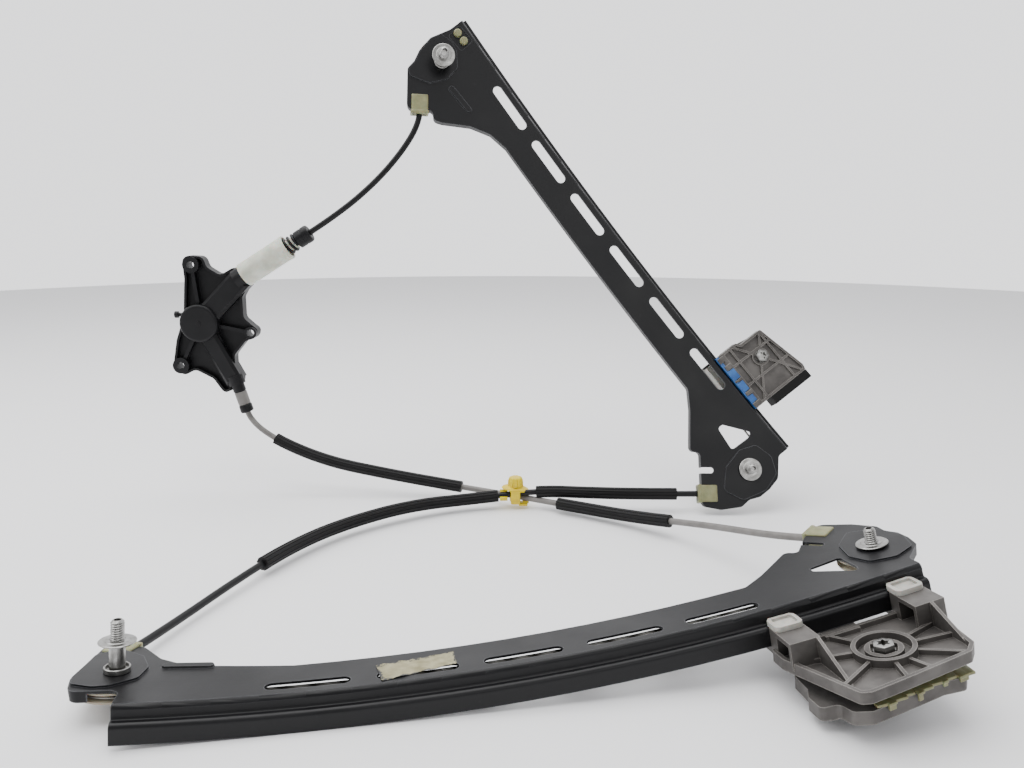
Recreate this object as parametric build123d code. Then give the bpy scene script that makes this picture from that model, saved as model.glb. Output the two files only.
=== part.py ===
import os
from math import atan2, cos, degrees, pi, radians, sin, tan

from build123d import *

# Cable window regulator with two mirrored guide rails, its drum housing and three cable conduits.
# Each rail is drawn in its own frame: t runs along the guide's arc from the top end, u points across
# the web to the guide side, and w stands off the web on the stud side. All sizes are millimetres.

# Guide rails
rail_length = 454.0
rail_bend = 1400.0
sheet = 1.4
step_depth = 7.5
ledge_out = 4.8
wall_depth = 18.0
bend_radius = 1.9
rim_depth = 6.0
neck_width = 34.0
outline_round = 5.0
slot_line = -10.5
slot_length = 43.0
slot_width = 8.0
slot_pitch = 56.0
tab_width = 22.0
tab_depth = 10.5
pad_height = 1.2

# Raised pads round the studs, and the shallow recess that holds the two buttons
pad_outlines = (
    [(-4.5, -23.0), (7.0, -19.0), (15.0, -20.0), (27.0, -28.0), (29.5, -41.0), (24.0, -55.0), (9.0, -66.0),
     (-2.0, -56.0), (-6.0, -34.0)],
    [(433.0, -20.0), (448.0, -16.0), (462.0, -22.0), (467.0, -38.0), (462.0, -58.0), (446.0, -66.0),
     (432.0, -52.0), (428.0, -34.0)])
button_recess = [(1.0, -18.5), (-1.0, -5.5), (15.5, -3.5), (17.0, -16.5)]
button_spots = ((3.5, -10.5), (11.5, -10.0))
recess_depth = 0.7

# Cables, pulleys and studs
cable_line = -18.0
cable_level = -4.6
cable_radius = 0.8
upper_pulley_radius = 18.0
lower_pulley_radius = 19.5
pulley_flange = 2.2
pulley_width = 5.4
upper_pulley_t = 15.0
lower_pulley_gap = 8.0
axle_radius = 4.0
axle_head_radius = 8.0
axle_head_height = 1.6
stud_radius = 3.5
stud_foot_radius = 5.8
stud_neck_radius = 4.0
washer_radius = 9.4
washer_height = 1.6
upper_stud_height = 28.8
upper_washer_level = 16.8
lower_stud_height = 12.4
lower_washer_level = 2.2
ferrule_width = 14.0
ferrule_height = 9.2
ferrule_length = 16.0
ferrule_proud = 3.0
ferrule_neck_radius = 3.0

# Clearances
running_fit = 0.05
slide_gap = 0.3
cable_gap = 0.35

# Carriages, along t at the lowered end of their travel
front_arm_start = 355.5
front_arm_width = 17.0
front_arm_pitch = 71.5
rear_start = 356.0
rear_length = 54.0
anchor_start = 384.0
anchor_length = 20.0
anchor_lug = 6.0
column_width = 7.5
bridge_depth = 3.7
shoe_reach = 8.0
front_jaw_gap = 7.0
rear_jaw_gap = 9.0
front_plate_height = 3.0
rear_plate_height = 5.0
clamp_height = 4.0
front_plate_level = -21.0
rear_plate_level = -3.0
rim_height = 3.0
rib_width = 1.8
arm_reach = 28.0
insert_height = 2.6
band_width = 7.5
clamp_bolt_radius = 3.0
bolt_flange_radius = 5.6
bolt_across = 9.0
bolt_head_height = 4.5
ring_radius = 16.0
ring_wall = 2.4
front_bolt_along = 45.5
front_bolt_out = 37.0
rear_bolt_along = 22.0
rear_bolt_out = 33.5
front_foot_level = -50.6

# Drum housing, seen from the front with x to the right and y up
housing_depth = 20.0
flange_height = 6.0
bowl_radius = 16.5
bowl_wall = 1.8
drum_pin_radius = 4.0
outlet_depth = 9.0
sleeve_radius = 10.5
sleeve_length = 46.0
bellows_length = 10.0
cap_radius = 7.5
cap_length = 13.0
outlet_ferrule_radius = 5.5
outlet_ferrule_length = 26.0

# Conduits
conduit_radius = 2.5
sleeving_radius = 5.0
clip_at = (3.0, 706.0)

# The rails as they lie: middle of the guide's arc, the way along t, and the way off the web
front_middle = (10.6, 411.2, 22.0)
front_along = Vector(0.9796, 0.1839, 0.0813).normalized()
front_off = Vector(-0.095, 0.085, 0.992)
rear_middle = (95.3, 760.2, 221.4)
rear_along = Vector(0.604, -0.172, -0.778).normalized()
rear_off = Vector(0.091, -0.955, 0.283)
housing_middle = (-271.1, 745.0, 151.7)
table_origin = (-21.03, 584.13, -0.22)

lower_pulley_t = rail_length - lower_pulley_gap
front_arm_starts = (front_arm_start, front_arm_start + front_arm_pitch)
front_arm_spans = [(t, t + front_arm_width) for t in front_arm_starts]
rear_span = (rear_start, rear_start + rear_length)
anchor_span = (anchor_start, anchor_start + anchor_length)
front_bolt_at = (front_arm_start + front_bolt_along, front_bolt_out)
rear_bolt_at = (rear_start + rear_bolt_along, rear_bolt_out)
arc_axis = Axis((0, 0, rail_bend), (0, -1, 0))
nodes = {}


def lying_plane(middle, along, off):
    square_off = (off - along * along.dot(off)).normalized()
    return Plane(middle, x_dir=along, z_dir=square_off)


front_plane = lying_plane(front_middle, front_along, front_off)
rear_plane = lying_plane(rear_middle, rear_along, rear_off)
housing_plane = Plane(housing_middle, x_dir=(1, 0, 0), z_dir=(0, -1, 0))


def turn_at(t):
    return (t - rail_length / 2) / rail_bend


def seat(t, u, w=0.0):
    turn = turn_at(t)
    origin = ((rail_bend - w) * sin(turn), u, rail_bend - (rail_bend - w) * cos(turn))
    return Plane(origin, x_dir=(cos(turn), 0, sin(turn)), z_dir=(-sin(turn), 0, cos(turn)))


def section_plane(t):
    start = seat(t, 0)
    return Plane(start.origin, x_dir=(0, 1, 0), z_dir=start.x_dir)


def band(profile, t0, t1):
    return revolve(section_plane(t0) * profile, arc_axis, degrees((t1 - t0) / rail_bend))


def block(t0, t1, u0, u1, w0, w1):
    profile = Pos((u0 + u1) / 2, (w0 + w1) / 2) * Rectangle(u1 - u0, w1 - w0)
    return band(profile, t0, t1)


# The round that each corner of a closed outline can take: none on a nearly straight stretch
def rounded(points, radius):
    spots = [Vector(p) for p in points]
    area = sum(a.X * b.Y - b.X * a.Y for a, b in zip(spots, spots[1:] + spots[:1]))
    if area < 0:
        spots.reverse()
    radii = []
    for i, b in enumerate(spots):
        before, after = b - spots[i - 1], spots[(i + 1) % len(spots)] - b
        half_turn = radians(before.get_angle(after)) / 2
        room = 0.45 * min(before.length, after.length) / tan(half_turn) if half_turn > 0.06 else 0
        radii.append(min(radius, room))
    return make_face(FilletPolyline(*spots, radius=radii, close=True))


def plan(points, radius):
    return rounded([(rail_bend * sin(turn_at(t)), u) for t, u in points], radius)


def prism(face):
    return extrude(Pos(0, 0, -70) * face, 160)


def rimmed_plate(points, radius, w0, w1, rim0, rim1, wall):
    face = plan(points, radius)
    t_all = [t for t, _ in points]
    u_all = [u for _, u in points]
    reach = (min(t_all) - 20, max(t_all) + 20, min(u_all) - 5, max(u_all) + 5)
    slab = block(*reach, w0, w1) & prism(face)
    ring = block(*reach, rim0, rim1) & prism(face - offset(face, -wall))
    return slab + ring


def disc(plane, radius, w0, w1):
    return extrude(plane.offset(w0) * Circle(radius), w1 - w0)


def hex_head(plane, across, w0, w1):
    return extrude(plane.offset(w0) * RegularPolygon(across / 2, 6, major_radius=False), w1 - w0)


# A cable's way off a pulley: the place where it leaves the groove and the way to its ferrule
def exit_line(centre, radius, way, upper):
    dt, du = way
    side = 1 if upper else -1
    start = (centre[0] + side * radius * du, centre[1] - side * radius * dt)
    return start, (dt, du)


def exit_plane(t_pulley, start, way, reach, w):
    flat = seat(t_pulley, 0)
    out = flat.x_dir * way[0] + flat.y_dir * way[1]
    at = flat.x_dir * (start[0] - t_pulley + reach * way[0])
    origin = flat.origin + at + flat.y_dir * (start[1] + reach * way[1]) + flat.z_dir * w
    return Plane(origin, x_dir=flat.z_dir, z_dir=out)


class Rail:
    def __init__(self, name, mirrored, plane, upper_way, reaches, slots, guide_start):
        self.name = name
        self.mirrored = mirrored
        self.plane = plane
        self.slots = slots
        self.guide_start = guide_start
        self.upper = (upper_pulley_t, cable_line - upper_pulley_radius)
        self.lower = (lower_pulley_t, cable_line - lower_pulley_radius)
        self.exits = {
            "upper": (*exit_line(self.upper, upper_pulley_radius, upper_way, True), reaches[0]),
            "lower": (*exit_line(self.lower, lower_pulley_radius, (-0.607, -0.795), False), reaches[1]),
        }

    def add(self, part_name, solid):
        handed = mirror(solid, Plane.XZ) if self.mirrored else solid
        nodes[f"{self.name}_{part_name}"] = self.plane * handed

    def ends(self):
        return (
            ("upper", self.upper, upper_pulley_radius, upper_stud_height, upper_washer_level),
            ("lower", self.lower, lower_pulley_radius, lower_stud_height, lower_washer_level),
        )

    def tab_corners(self, end):
        start, way, reach = self.exits[end]
        middle = (start[0] + reach * way[0], start[1] + reach * way[1])
        half = tab_width / 2
        return [(middle[0] + s * half * way[1], middle[1] - s * half * way[0]) for s in (1, -1)]

    # Where the conduit's end face meets the ferrule, and the way out of it, in the whole object's frame
    def mouth(self, end):
        start, way, reach = self.exits[end]
        t_pulley = self.upper[0] if end == "upper" else self.lower[0]
        plane = exit_plane(t_pulley, start, way, reach + ferrule_proud, cable_level)
        side = -1 if self.mirrored else 1
        spot = self.plane.from_local_coords(Vector(plane.origin.X, side * plane.origin.Y, plane.origin.Z))
        out = Vector(plane.z_dir.X, side * plane.z_dir.Y, plane.z_dir.Z)
        tip = self.plane.x_dir * out.X + self.plane.y_dir * out.Y + self.plane.z_dir * out.Z
        return spot, tip


def rail_outline(rail):
    upper_near, upper_far = rail.tab_corners("upper")
    lower_near, lower_far = rail.tab_corners("lower")
    top = rail.guide_start
    end = rail_length
    if rail.mirrored:
        head = [
            (top, 0.5), (top, -16.5), (-3.5, -16.0), (-6.0, -30.0), (-3.5, -46.0), (-2.0, -58.0),
            upper_near, upper_far, (33.0, -53.0), (48.0, -43.0),
        ]
    else:
        head = [
            (top, 0.5), (-2.5, -14.0), (-6.0, -32.0), (-2.8, -46.0), (2.0, -55.0), (3.5, -63.0),
            upper_near, upper_far, (50.0, -71.0), (56.0, -66.0), (72.0, -48.0), (87.0, -38.0),
        ]
    return head + [
        (104.0, -neck_width), (end - 92, -neck_width - 1), (end - 77, -45.0), (end - 50, -67.5),
        (end - 44.5, -61.0), lower_near, lower_far, (end + 3, -78.0), (end + 11.5, -63.0),
        (end + 11.0, -54.0), (end + 14.5, -45.5), (end + 14.5, -35.0), (end + 12, -23.5), (end - 2, -10.5),
        (end - 2, 0.5),
    ]


def guide_section():
    half = sheet / 2
    line = FilletPolyline(
        (-outline_round, -half), (-half, -half), (-half, -step_depth - half),
        (ledge_out - half, -step_depth - half), (ledge_out - half, -wall_depth), radius=bend_radius)
    return trace(line, sheet)


def rail_solid(rail):
    face = plan(rail_outline(rail), outline_round)
    reach = (-30, rail_length + 40, -120)
    solid = block(*reach, -bend_radius, -rim_depth, 0) & prism(face)
    below = (-2 * rim_depth, -sheet)
    solid -= block(*reach, 5.0, *below) & prism(offset(face, -sheet))
    solid -= block(*reach[:2], -2 * outline_round, 5.0, *below)
    for _, centre, radius, _, _ in rail.ends():
        solid -= disc(seat(*centre), radius + pulley_flange + 1.5, -2 * rim_depth, -sheet - 0.2)
    solid += band(guide_section(), rail.guide_start, rail_length - 2)
    for points in pad_outlines:
        pad = prism(plan(points, outline_round)) & prism(offset(face, -1.0))
        solid += pad & block(*reach, -bend_radius, -sheet / 2, pad_height)
    for end, centre, radius, _, _ in rail.ends():
        start, way, tab_reach = rail.exits[end]
        inner = tab_reach + ferrule_proud - ferrule_length
        tab = exit_plane(centre[0], start, way, inner - sheet, -tab_depth / 2 - sheet / 4)
        solid -= ferrule_block(centre[0], start, way, tab_reach)
        solid += extrude(tab * Rectangle(tab_depth - sheet / 2, ferrule_width + sheet), sheet)
        hole = exit_plane(centre[0], start, way, inner - 2 * sheet, cable_level)
        solid -= extrude(hole * Circle(ferrule_neck_radius), 2 * sheet)
        solid -= disc(seat(*centre), axle_radius, -2 * sheet, sheet)
    first, count = rail.slots
    for i in range(count):
        hole = seat(first + i * slot_pitch + slot_length / 2, slot_line)
        solid -= extrude(hole.offset(-sheet * 2) * SlotOverall(slot_length, slot_width), 3 * sheet)
    end = rail_length
    corners = [(-51, -36.0), (-51, -31.0), (-31, -15.5), (-29, -21.0), (-29.5, -38.5)]
    window = plan([(end + t, u) for t, u in corners], 2.5)
    solid -= prism(window) & block(0, end, -60, slot_line + 3, -sheet * 2, sheet)
    notch = Rot(0, 0, 52) * SlotOverall(16.0, 5.0)
    solid -= extrude(seat(end - 31, -68.0, -rim_depth - 2) * notch, rim_depth + 4)
    bead = Rot(0, 0, 4) * SlotOverall(28.0, 6.0)
    solid += extrude(seat(49.0, -41.5, -sheet / 2) * bead, sheet / 2 + pad_height, taper=24)
    if not rail.mirrored:
        solid -= prism(plan(button_recess, 2.0)) & block(*reach, -bend_radius, -recess_depth, 1)
    return solid


def pulley_solid(centre, radius):
    half = pulley_width / 2
    bore = axle_radius + running_fit
    outer = radius + pulley_flange
    floor = radius - cable_radius - cable_gap
    groove = cable_radius + cable_gap
    profile = Polyline(
        (bore, -half), (outer, -half), (outer, -half + 0.9), (floor + 0.6, -groove), (floor, -groove / 2),
        (floor, groove / 2), (floor + 0.6, groove), (outer, half - 0.9), (outer, half), (bore, half),
        close=True)
    flat = Plane.XZ * make_face(profile)
    wheel = revolve(flat, Axis.Z)
    dish = Circle(floor - 2.5) - Circle(axle_radius + 3.2)
    for level in (half - 0.8, -half):
        wheel -= extrude(Pos(0, 0, level) * dish, 0.8)
    hole = Circle((floor - axle_radius - 8) / 2)
    for spot in PolarLocations((floor + axle_radius) / 2 + 0.4, 5):
        wheel -= extrude(Pos(0, 0, -half) * spot * hole, pulley_width)
    return seat(*centre).offset(cable_level) * wheel


def axle_solid(centre):
    flat = seat(*centre)
    low = cable_level - pulley_width / 2 - running_fit
    shank = disc(flat, axle_radius, low, pad_height)
    return shank + disc(flat, axle_head_radius, low - axle_head_height, low)


def stud_solid(centre, height, washer_level):
    flat = seat(*centre)
    low = pad_height + 0.02
    solid = disc(flat, stud_radius, low, height) + disc(flat, stud_foot_radius, low, low + 0.8)
    solid += disc(flat, stud_neck_radius, low, washer_level + washer_height)
    return chamfer(solid.edges().sort_by(Axis(flat.origin, flat.z_dir))[-1], 0.8)


def washer_solid(centre, level):
    flat = seat(*centre)
    top = level + washer_height
    return disc(flat, washer_radius, level, top) - disc(flat, stud_neck_radius, level, top)


def ferrule_block(t_pulley, start, way, reach):
    inner = exit_plane(t_pulley, start, way, reach + ferrule_proud - ferrule_length, cable_level)
    body = extrude(inner * Rectangle(ferrule_height, ferrule_width), ferrule_length)
    return chamfer(body.edges().filter_by(Axis(inner.origin, inner.z_dir)), 0.8)


def ferrule_solid(t_pulley, start, way, reach):
    inner = exit_plane(t_pulley, start, way, reach + ferrule_proud - ferrule_length - sheet, cable_level)
    body = ferrule_block(t_pulley, start, way, reach)
    body += extrude(inner * Circle(ferrule_neck_radius), 2 * sheet)
    return body - extrude(inner * Circle(cable_radius + cable_gap), ferrule_length + sheet)


# The cable from one ferrule round both pulleys and along the guide to the other ferrule
def cable_solid(rail):
    runs = []
    for end, centre, radius, _, _ in rail.ends():
        start, way, reach = rail.exits[end]
        flat = seat(*centre, cable_level)
        leave = atan2(start[1] - centre[1], start[0] - centre[0])
        wrap = (leave - radians(90)) % radians(360) if end == "upper" else leave - radians(90)
        bow = [flat.from_local_coords((radius * cos(a), radius * sin(a)))
               for a in (radians(90), radians(90) + wrap / 2, radians(90) + wrap)]
        tip = exit_plane(centre[0], start, way, reach - ferrule_length / 2, cable_level).origin
        runs.append((bow, tip))
    (upper_bow, upper_tip), (lower_bow, lower_tip) = runs
    half_way = seat(rail_length / 2, cable_line, cable_level).origin
    path = Wire([
        Edge.make_line(upper_tip, upper_bow[2]),
        Edge.make_three_point_arc(upper_bow[2], upper_bow[1], upper_bow[0]),
        Edge.make_three_point_arc(upper_bow[0], half_way, lower_bow[0]),
        Edge.make_three_point_arc(lower_bow[0], lower_bow[1], lower_bow[2]),
        Edge.make_line(lower_bow[2], lower_tip),
    ])
    return sweep(Plane(path @ 0, z_dir=path % 0) * Circle(cable_radius), path=path)


def guide_arm(t0, t1, top):
    inner = ledge_out + slide_gap
    low = -wall_depth - slide_gap
    arm = block(t0, t1, inner, inner + column_width, low - bridge_depth, top)
    return arm + block(t0, t1, -shoe_reach, inner + column_width, low - bridge_depth, low)


# A sliding block, with the corner that runs along a bend of the guide cut back
def sliding_block(t0, t1, u0, u1, w0, w1, corner):
    cut = bend_radius
    points = {
        "low": ((u0 + cut, w0), (u1, w0), (u1, w1), (u0, w1), (u0, w0 + cut)),
        "high": ((u0, w0), (u1, w0), (u1, w1 - cut), (u1 - cut, w1), (u0, w1)),
    }[corner]
    return band(make_face(Polyline(*points, close=True)), t0, t1)


def shoe_solid(t0, t1):
    top = -step_depth - sheet - slide_gap
    low = -wall_depth - slide_gap
    return sliding_block(t0, t1, -shoe_reach, ledge_out - sheet - slide_gap, low, top, "high")


# The arm that reaches under the web to the cable, with two lugs that hold the cable's nipple
def anchor_arm():
    t0, t1 = anchor_span
    low = -wall_depth - slide_gap
    arm = block(t0, t1, cable_line - 4, ledge_out + slide_gap + 6, low - bridge_depth, low)
    for start in (t0, t1 - anchor_lug):
        lug = (start, start + anchor_lug, cable_line - 4, cable_line + 4)
        arm += block(*lug, low - 1, cable_level + 2.4)
    return arm - band(Pos(cable_line, cable_level) * Circle(cable_radius + cable_gap), t0 - 1, t1 + 1)


def nipple_solid():
    ring = Circle(2.4) - Circle(cable_radius + cable_gap)
    t0, t1 = anchor_span
    return band(Pos(cable_line, cable_level) * ring, t0 + anchor_lug, t1 - anchor_lug)


def rib(start, finish, wide, w0, w1):
    flat = seat(*start)
    across, along = finish[1] - start[1], finish[0] - start[0]
    length = (across ** 2 + along ** 2) ** 0.5
    strip = Rot(0, 0, degrees(atan2(across, along))) * (Pos(length / 2, 0) * Rectangle(length, wide))
    return extrude(flat.offset(w0) * strip, w1 - w0)


def front_plate_points(inset):
    t0, t1 = front_arm_spans[0][0] + inset, front_arm_spans[1][1] - inset
    near = ledge_out + slide_gap + 2 + inset
    return [
        (t0, near), (t0, 20.0), (t0 + 15, 68.0 - inset), (t0 + 20, 70.0 - inset), (t1 - 10, 63.0 - inset),
        (t1 - 4, 57.0 - inset), (t1, 30.0), (t1, near),
    ]


def spoke(at, angle, w0, w1, face):
    way = (cos(radians(angle)), sin(radians(angle)))
    finish = [at[i] + arm_reach * 3 * way[i] for i in (0, 1)]
    return rib(at, finish, rib_width, w0, w1) & prism(face)


def front_carriage_solid():
    level = front_plate_level
    low = level - front_plate_height
    top = level + rim_height
    inner = ledge_out + slide_gap
    shelf = inner + column_width
    arm_top = -step_depth + slide_gap
    face = plan(front_plate_points(0), 3.0)
    solid = rimmed_plate(front_plate_points(0), 3.0, low, level, low, top, 2.2)
    for t0, t1 in front_arm_spans:
        solid += guide_arm(t0, t1, arm_top)
        solid += block(t0, t1, shelf - 1, arm_reach, arm_top - 2.5, arm_top)
        solid += block(t0, t1, arm_reach - 2.2, arm_reach, level - 1, arm_top)
        side = t1 - 2.2 if t0 < front_bolt_at[0] else (t0 + t1) / 2
        slope = [(arm_reach, arm_top), (2 * arm_reach, level), (inner + 1, level), (inner + 1, arm_top)]
        solid += band(make_face(Polyline(*slope, close=True)), side, side + rib_width)
    solid += anchor_arm()
    bolt = seat(*front_bolt_at)
    for angle in (8, -16, 40, 75, 103, 150, 196, 240):
        solid += spoke(front_bolt_at, angle, level - 1, top, face)
    solid -= disc(bolt, ring_radius - ring_wall, level, top + 2)
    ring = Circle(ring_radius) - Circle(ring_radius - ring_wall)
    solid += extrude(bolt.offset(level - 1) * ring, rim_height + 2.4)
    solid += disc(bolt, bolt_flange_radius + 4, level - 1, top)
    solid -= hex_head(bolt, 2 * bolt_flange_radius + 2, level + 0.5, top + 1)
    return solid - disc(bolt, clamp_bolt_radius + slide_gap, low - 1, level + 10)


def front_insert_solid(t0, t1):
    end = ledge_out + slide_gap + column_width + 0.8
    low = -step_depth + slide_gap
    pad = sliding_block(t0 + 0.4, t1 - 0.4, slide_gap, end, low, low + insert_height, "low")
    hollow = seat((t0 + t1) / 2 + 1, (slide_gap + end) / 2 + 0.8)
    return pad - extrude(hollow.offset(low + insert_height - 1.2) * SlotOverall(t1 - t0 - 5, 5.4), 3)


def front_clamp_solid():
    top = front_plate_level - front_plate_height - front_jaw_gap
    low = top - clamp_height
    t0, t1 = front_arm_spans[0][0], front_arm_spans[1][1]
    near = ledge_out + slide_gap + column_width + 2
    points = [
        (t0 + 8, near), (t0 + 7, 32.0), (t0 + 3.5, 39.0), (t0 + 3.5, 51.0), (t0 + 13, 52.0), (t0 + 15, 61.0),
        (t0 + 23, 65.0), (t1 - 24, 60.0), (t1 - 13, 62.0), (t1 - 7, 55.0), (t1 - 13, 47.0), (t1 - 8, 36.0),
        (t1 - 8, near),
    ]
    face = plan(points, 3.0)
    solid = rimmed_plate(points, 3.0, low, top, low - rim_height, top, 2.0)
    bolt = seat(*front_bolt_at)
    solid += disc(bolt, 10.0, low - rim_height, low + 1)
    for angle in (20, 90, 160, 235, 305):
        solid += spoke(front_bolt_at, angle, low - rim_height, low + 1, face)
    return solid - disc(bolt, clamp_bolt_radius + slide_gap, low - 20, top + 1)


def clamp_bolt_solid(at, seat_level, foot):
    flat = seat(*at)
    flange = disc(flat, bolt_flange_radius, seat_level, seat_level + 1.4)
    head = hex_head(flat, bolt_across, seat_level, seat_level + bolt_head_height)
    return flange + head + disc(flat, clamp_bolt_radius, foot, seat_level)


def nut_solid(at, top):
    flat = seat(*at)
    return hex_head(flat, 10.0, top - 5.0, top) - disc(flat, clamp_bolt_radius, top - 6, top + 1)


def front_seat_solid():
    level = front_plate_level - front_plate_height
    t1 = front_arm_spans[1][1]
    return block(t1 - 17, t1 - 9, 20.0, 36.0, level - front_jaw_gap, level)


def rear_plate_points(grow):
    t0, t1 = rear_span
    near = ledge_out + slide_gap + 2
    return [
        (t0, near), (t0, 23.0), (t0 + 3.5, 26.0), (t0 + 3.5, 48.0 + grow), (t1 - 5, 58.0 + grow),
        (t1, 57.0 + grow), (t1, near),
    ]


def rear_carriage_solid():
    t0, t1 = rear_span
    inner = ledge_out + slide_gap
    level = rear_plate_level
    low = level - rear_plate_height
    top = level + rim_height - 0.8
    face = plan(rear_plate_points(-1), 1.5)
    solid = guide_arm(t0, t1, level)
    solid += rimmed_plate(rear_plate_points(0), 1.5, low, level, level, top, 2.0)
    solid += block(t0, t1, inner - 2, inner + 3, -step_depth + slide_gap, top)
    bolt = seat(*rear_bolt_at)
    for t in (t0 + 14, t0 + 34):
        solid += block(t, t + rib_width, inner, 60, level - 1, top) & prism(face)
    for u in (15.0, 45.0):
        solid += block(t0, t1, u, u + rib_width, level - 1, top) & prism(face)
    for angle in (35, 145, 215, 325):
        solid += spoke(rear_bolt_at, angle, level - 1, top, face)
    solid += disc(bolt, bolt_flange_radius + 2, level - 1, top)
    solid += anchor_arm()
    return solid - disc(bolt, clamp_bolt_radius + slide_gap, low - 1, level + 10)


def rear_slider_solid():
    t0, t1 = rear_span
    end = ledge_out + slide_gap - 2
    return sliding_block(t0, t1, slide_gap, end, -step_depth + slide_gap, 1.0, "low")


def rear_clamp_solid():
    t0, t1 = rear_span
    top = rear_plate_level - rear_plate_height - rear_jaw_gap
    low = top - clamp_height
    near = ledge_out + slide_gap + column_width + 2
    points = [(t0 + 2, near), (t0 + 2, 24.0), (t0 + 6, 46.0), (t1 - 8, 55.0), (t1, 54.0), (t1, near)]
    solid = rimmed_plate(points, 3.0, low, top, low - rim_height + 1, top, 2.0)
    bolt = seat(*rear_bolt_at)
    solid += disc(bolt, 9.0, low - rim_height + 1, low + 1)
    return solid - disc(bolt, clamp_bolt_radius + slide_gap, low - 20, top + 1)


def rear_seat_solid():
    t1 = rear_span[1]
    level = rear_plate_level
    low = level - rear_plate_height
    strip = block(t1, t1 + band_width, 18.0, 57.0, low - rear_jaw_gap, level + rim_height - 0.8)
    return strip + block(t1 - 5, t1, 18.0, 52.0, low - rear_jaw_gap, low)


def build_rail(rail):
    rail.add("rail", rail_solid(rail))
    rail.add("cable", cable_solid(rail))
    for end, centre, radius, height, washer_level in rail.ends():
        start, way, reach = rail.exits[end]
        rail.add(f"{end}_pulley", pulley_solid(centre, radius))
        rail.add(f"{end}_axle", axle_solid(centre))
        rail.add(f"{end}_stud", stud_solid(centre, height, washer_level))
        rail.add(f"{end}_washer", washer_solid(centre, washer_level))
        rail.add(f"{end}_ferrule", ferrule_solid(centre[0], start, way, reach))


def build_front_carriage(rail):
    rail.add("carriage", front_carriage_solid())
    for i, (t0, t1) in enumerate(front_arm_spans, 1):
        rail.add(f"insert_{i}", front_insert_solid(t0, t1))
        rail.add(f"shoe_{i}", shoe_solid(t0 + 0.6, t1 - 0.6))
    rail.add("clamp", front_clamp_solid())
    rail.add("clamp_bolt", clamp_bolt_solid(front_bolt_at, front_plate_level + 0.5, front_foot_level))
    clamp_low = front_plate_level - front_plate_height - front_jaw_gap - clamp_height - rim_height
    rail.add("clamp_nut", nut_solid(front_bolt_at, clamp_low))
    rail.add("glass_seat", front_seat_solid())
    rail.add("cable_nipple", nipple_solid())


def build_rear_carriage(rail):
    rail.add("carriage", rear_carriage_solid())
    rail.add("slider", rear_slider_solid())
    rail.add("shoe", shoe_solid(rear_span[0] + 2, rear_span[1] - 2))
    rail.add("clamp", rear_clamp_solid())
    clamp_low = rear_plate_level - rear_plate_height - rear_jaw_gap - clamp_height - rim_height + 1
    seat_level = rear_plate_level + rim_height - 0.8
    rail.add("clamp_bolt", clamp_bolt_solid(rear_bolt_at, seat_level, clamp_low - 7))
    rail.add("clamp_nut", nut_solid(rear_bolt_at, clamp_low))
    rail.add("glass_seat", rear_seat_solid())
    rail.add("cable_nipple", nipple_solid())
    for i, (t, u) in enumerate(button_spots, 1):
        button = disc(seat(t, u), 3.4, 0.01 - recess_depth, 2.4)
        rail.add(f"end_button_{i}", fillet(button.edges().sort_by(Axis.Z)[-1], 1.2))


# Outlets of the drum housing: where each leaves the outline, and its way
tension_start = Vector(40.0, 41.0, -outlet_depth)
tension_way = Vector(0.849, 0.529, 0)
outlet_start = Vector(28.0, -55.0, -outlet_depth)
outlet_way = Vector(0.285, -0.958, 0)
boss_spots = ((-5.0, 50.0, 7.0), (-20.0, -38.0, 7.0), (43.0, -9.0, 5.2))


def housing_outline():
    return rounded([
        (-13, 58), (5, 57), (8, 48), (19, 41), (33, 49), (44, 34), (37, 22), (37, 4), (44, -2.5), (49, -6.5),
        (47, -13.5), (37.5, -16.5), (27, -29), (27, -40), (34, -52), (17, -65), (7, -50), (-8, -42),
        (-18, -47), (-28, -41),
        (-23, -16), (-15, 6), (-12, 38)], 6.0)


def outlet_plane(start, way, reach):
    return Plane(start + way.normalized() * reach, x_dir=(0, 0, 1), z_dir=way.normalized())


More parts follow.
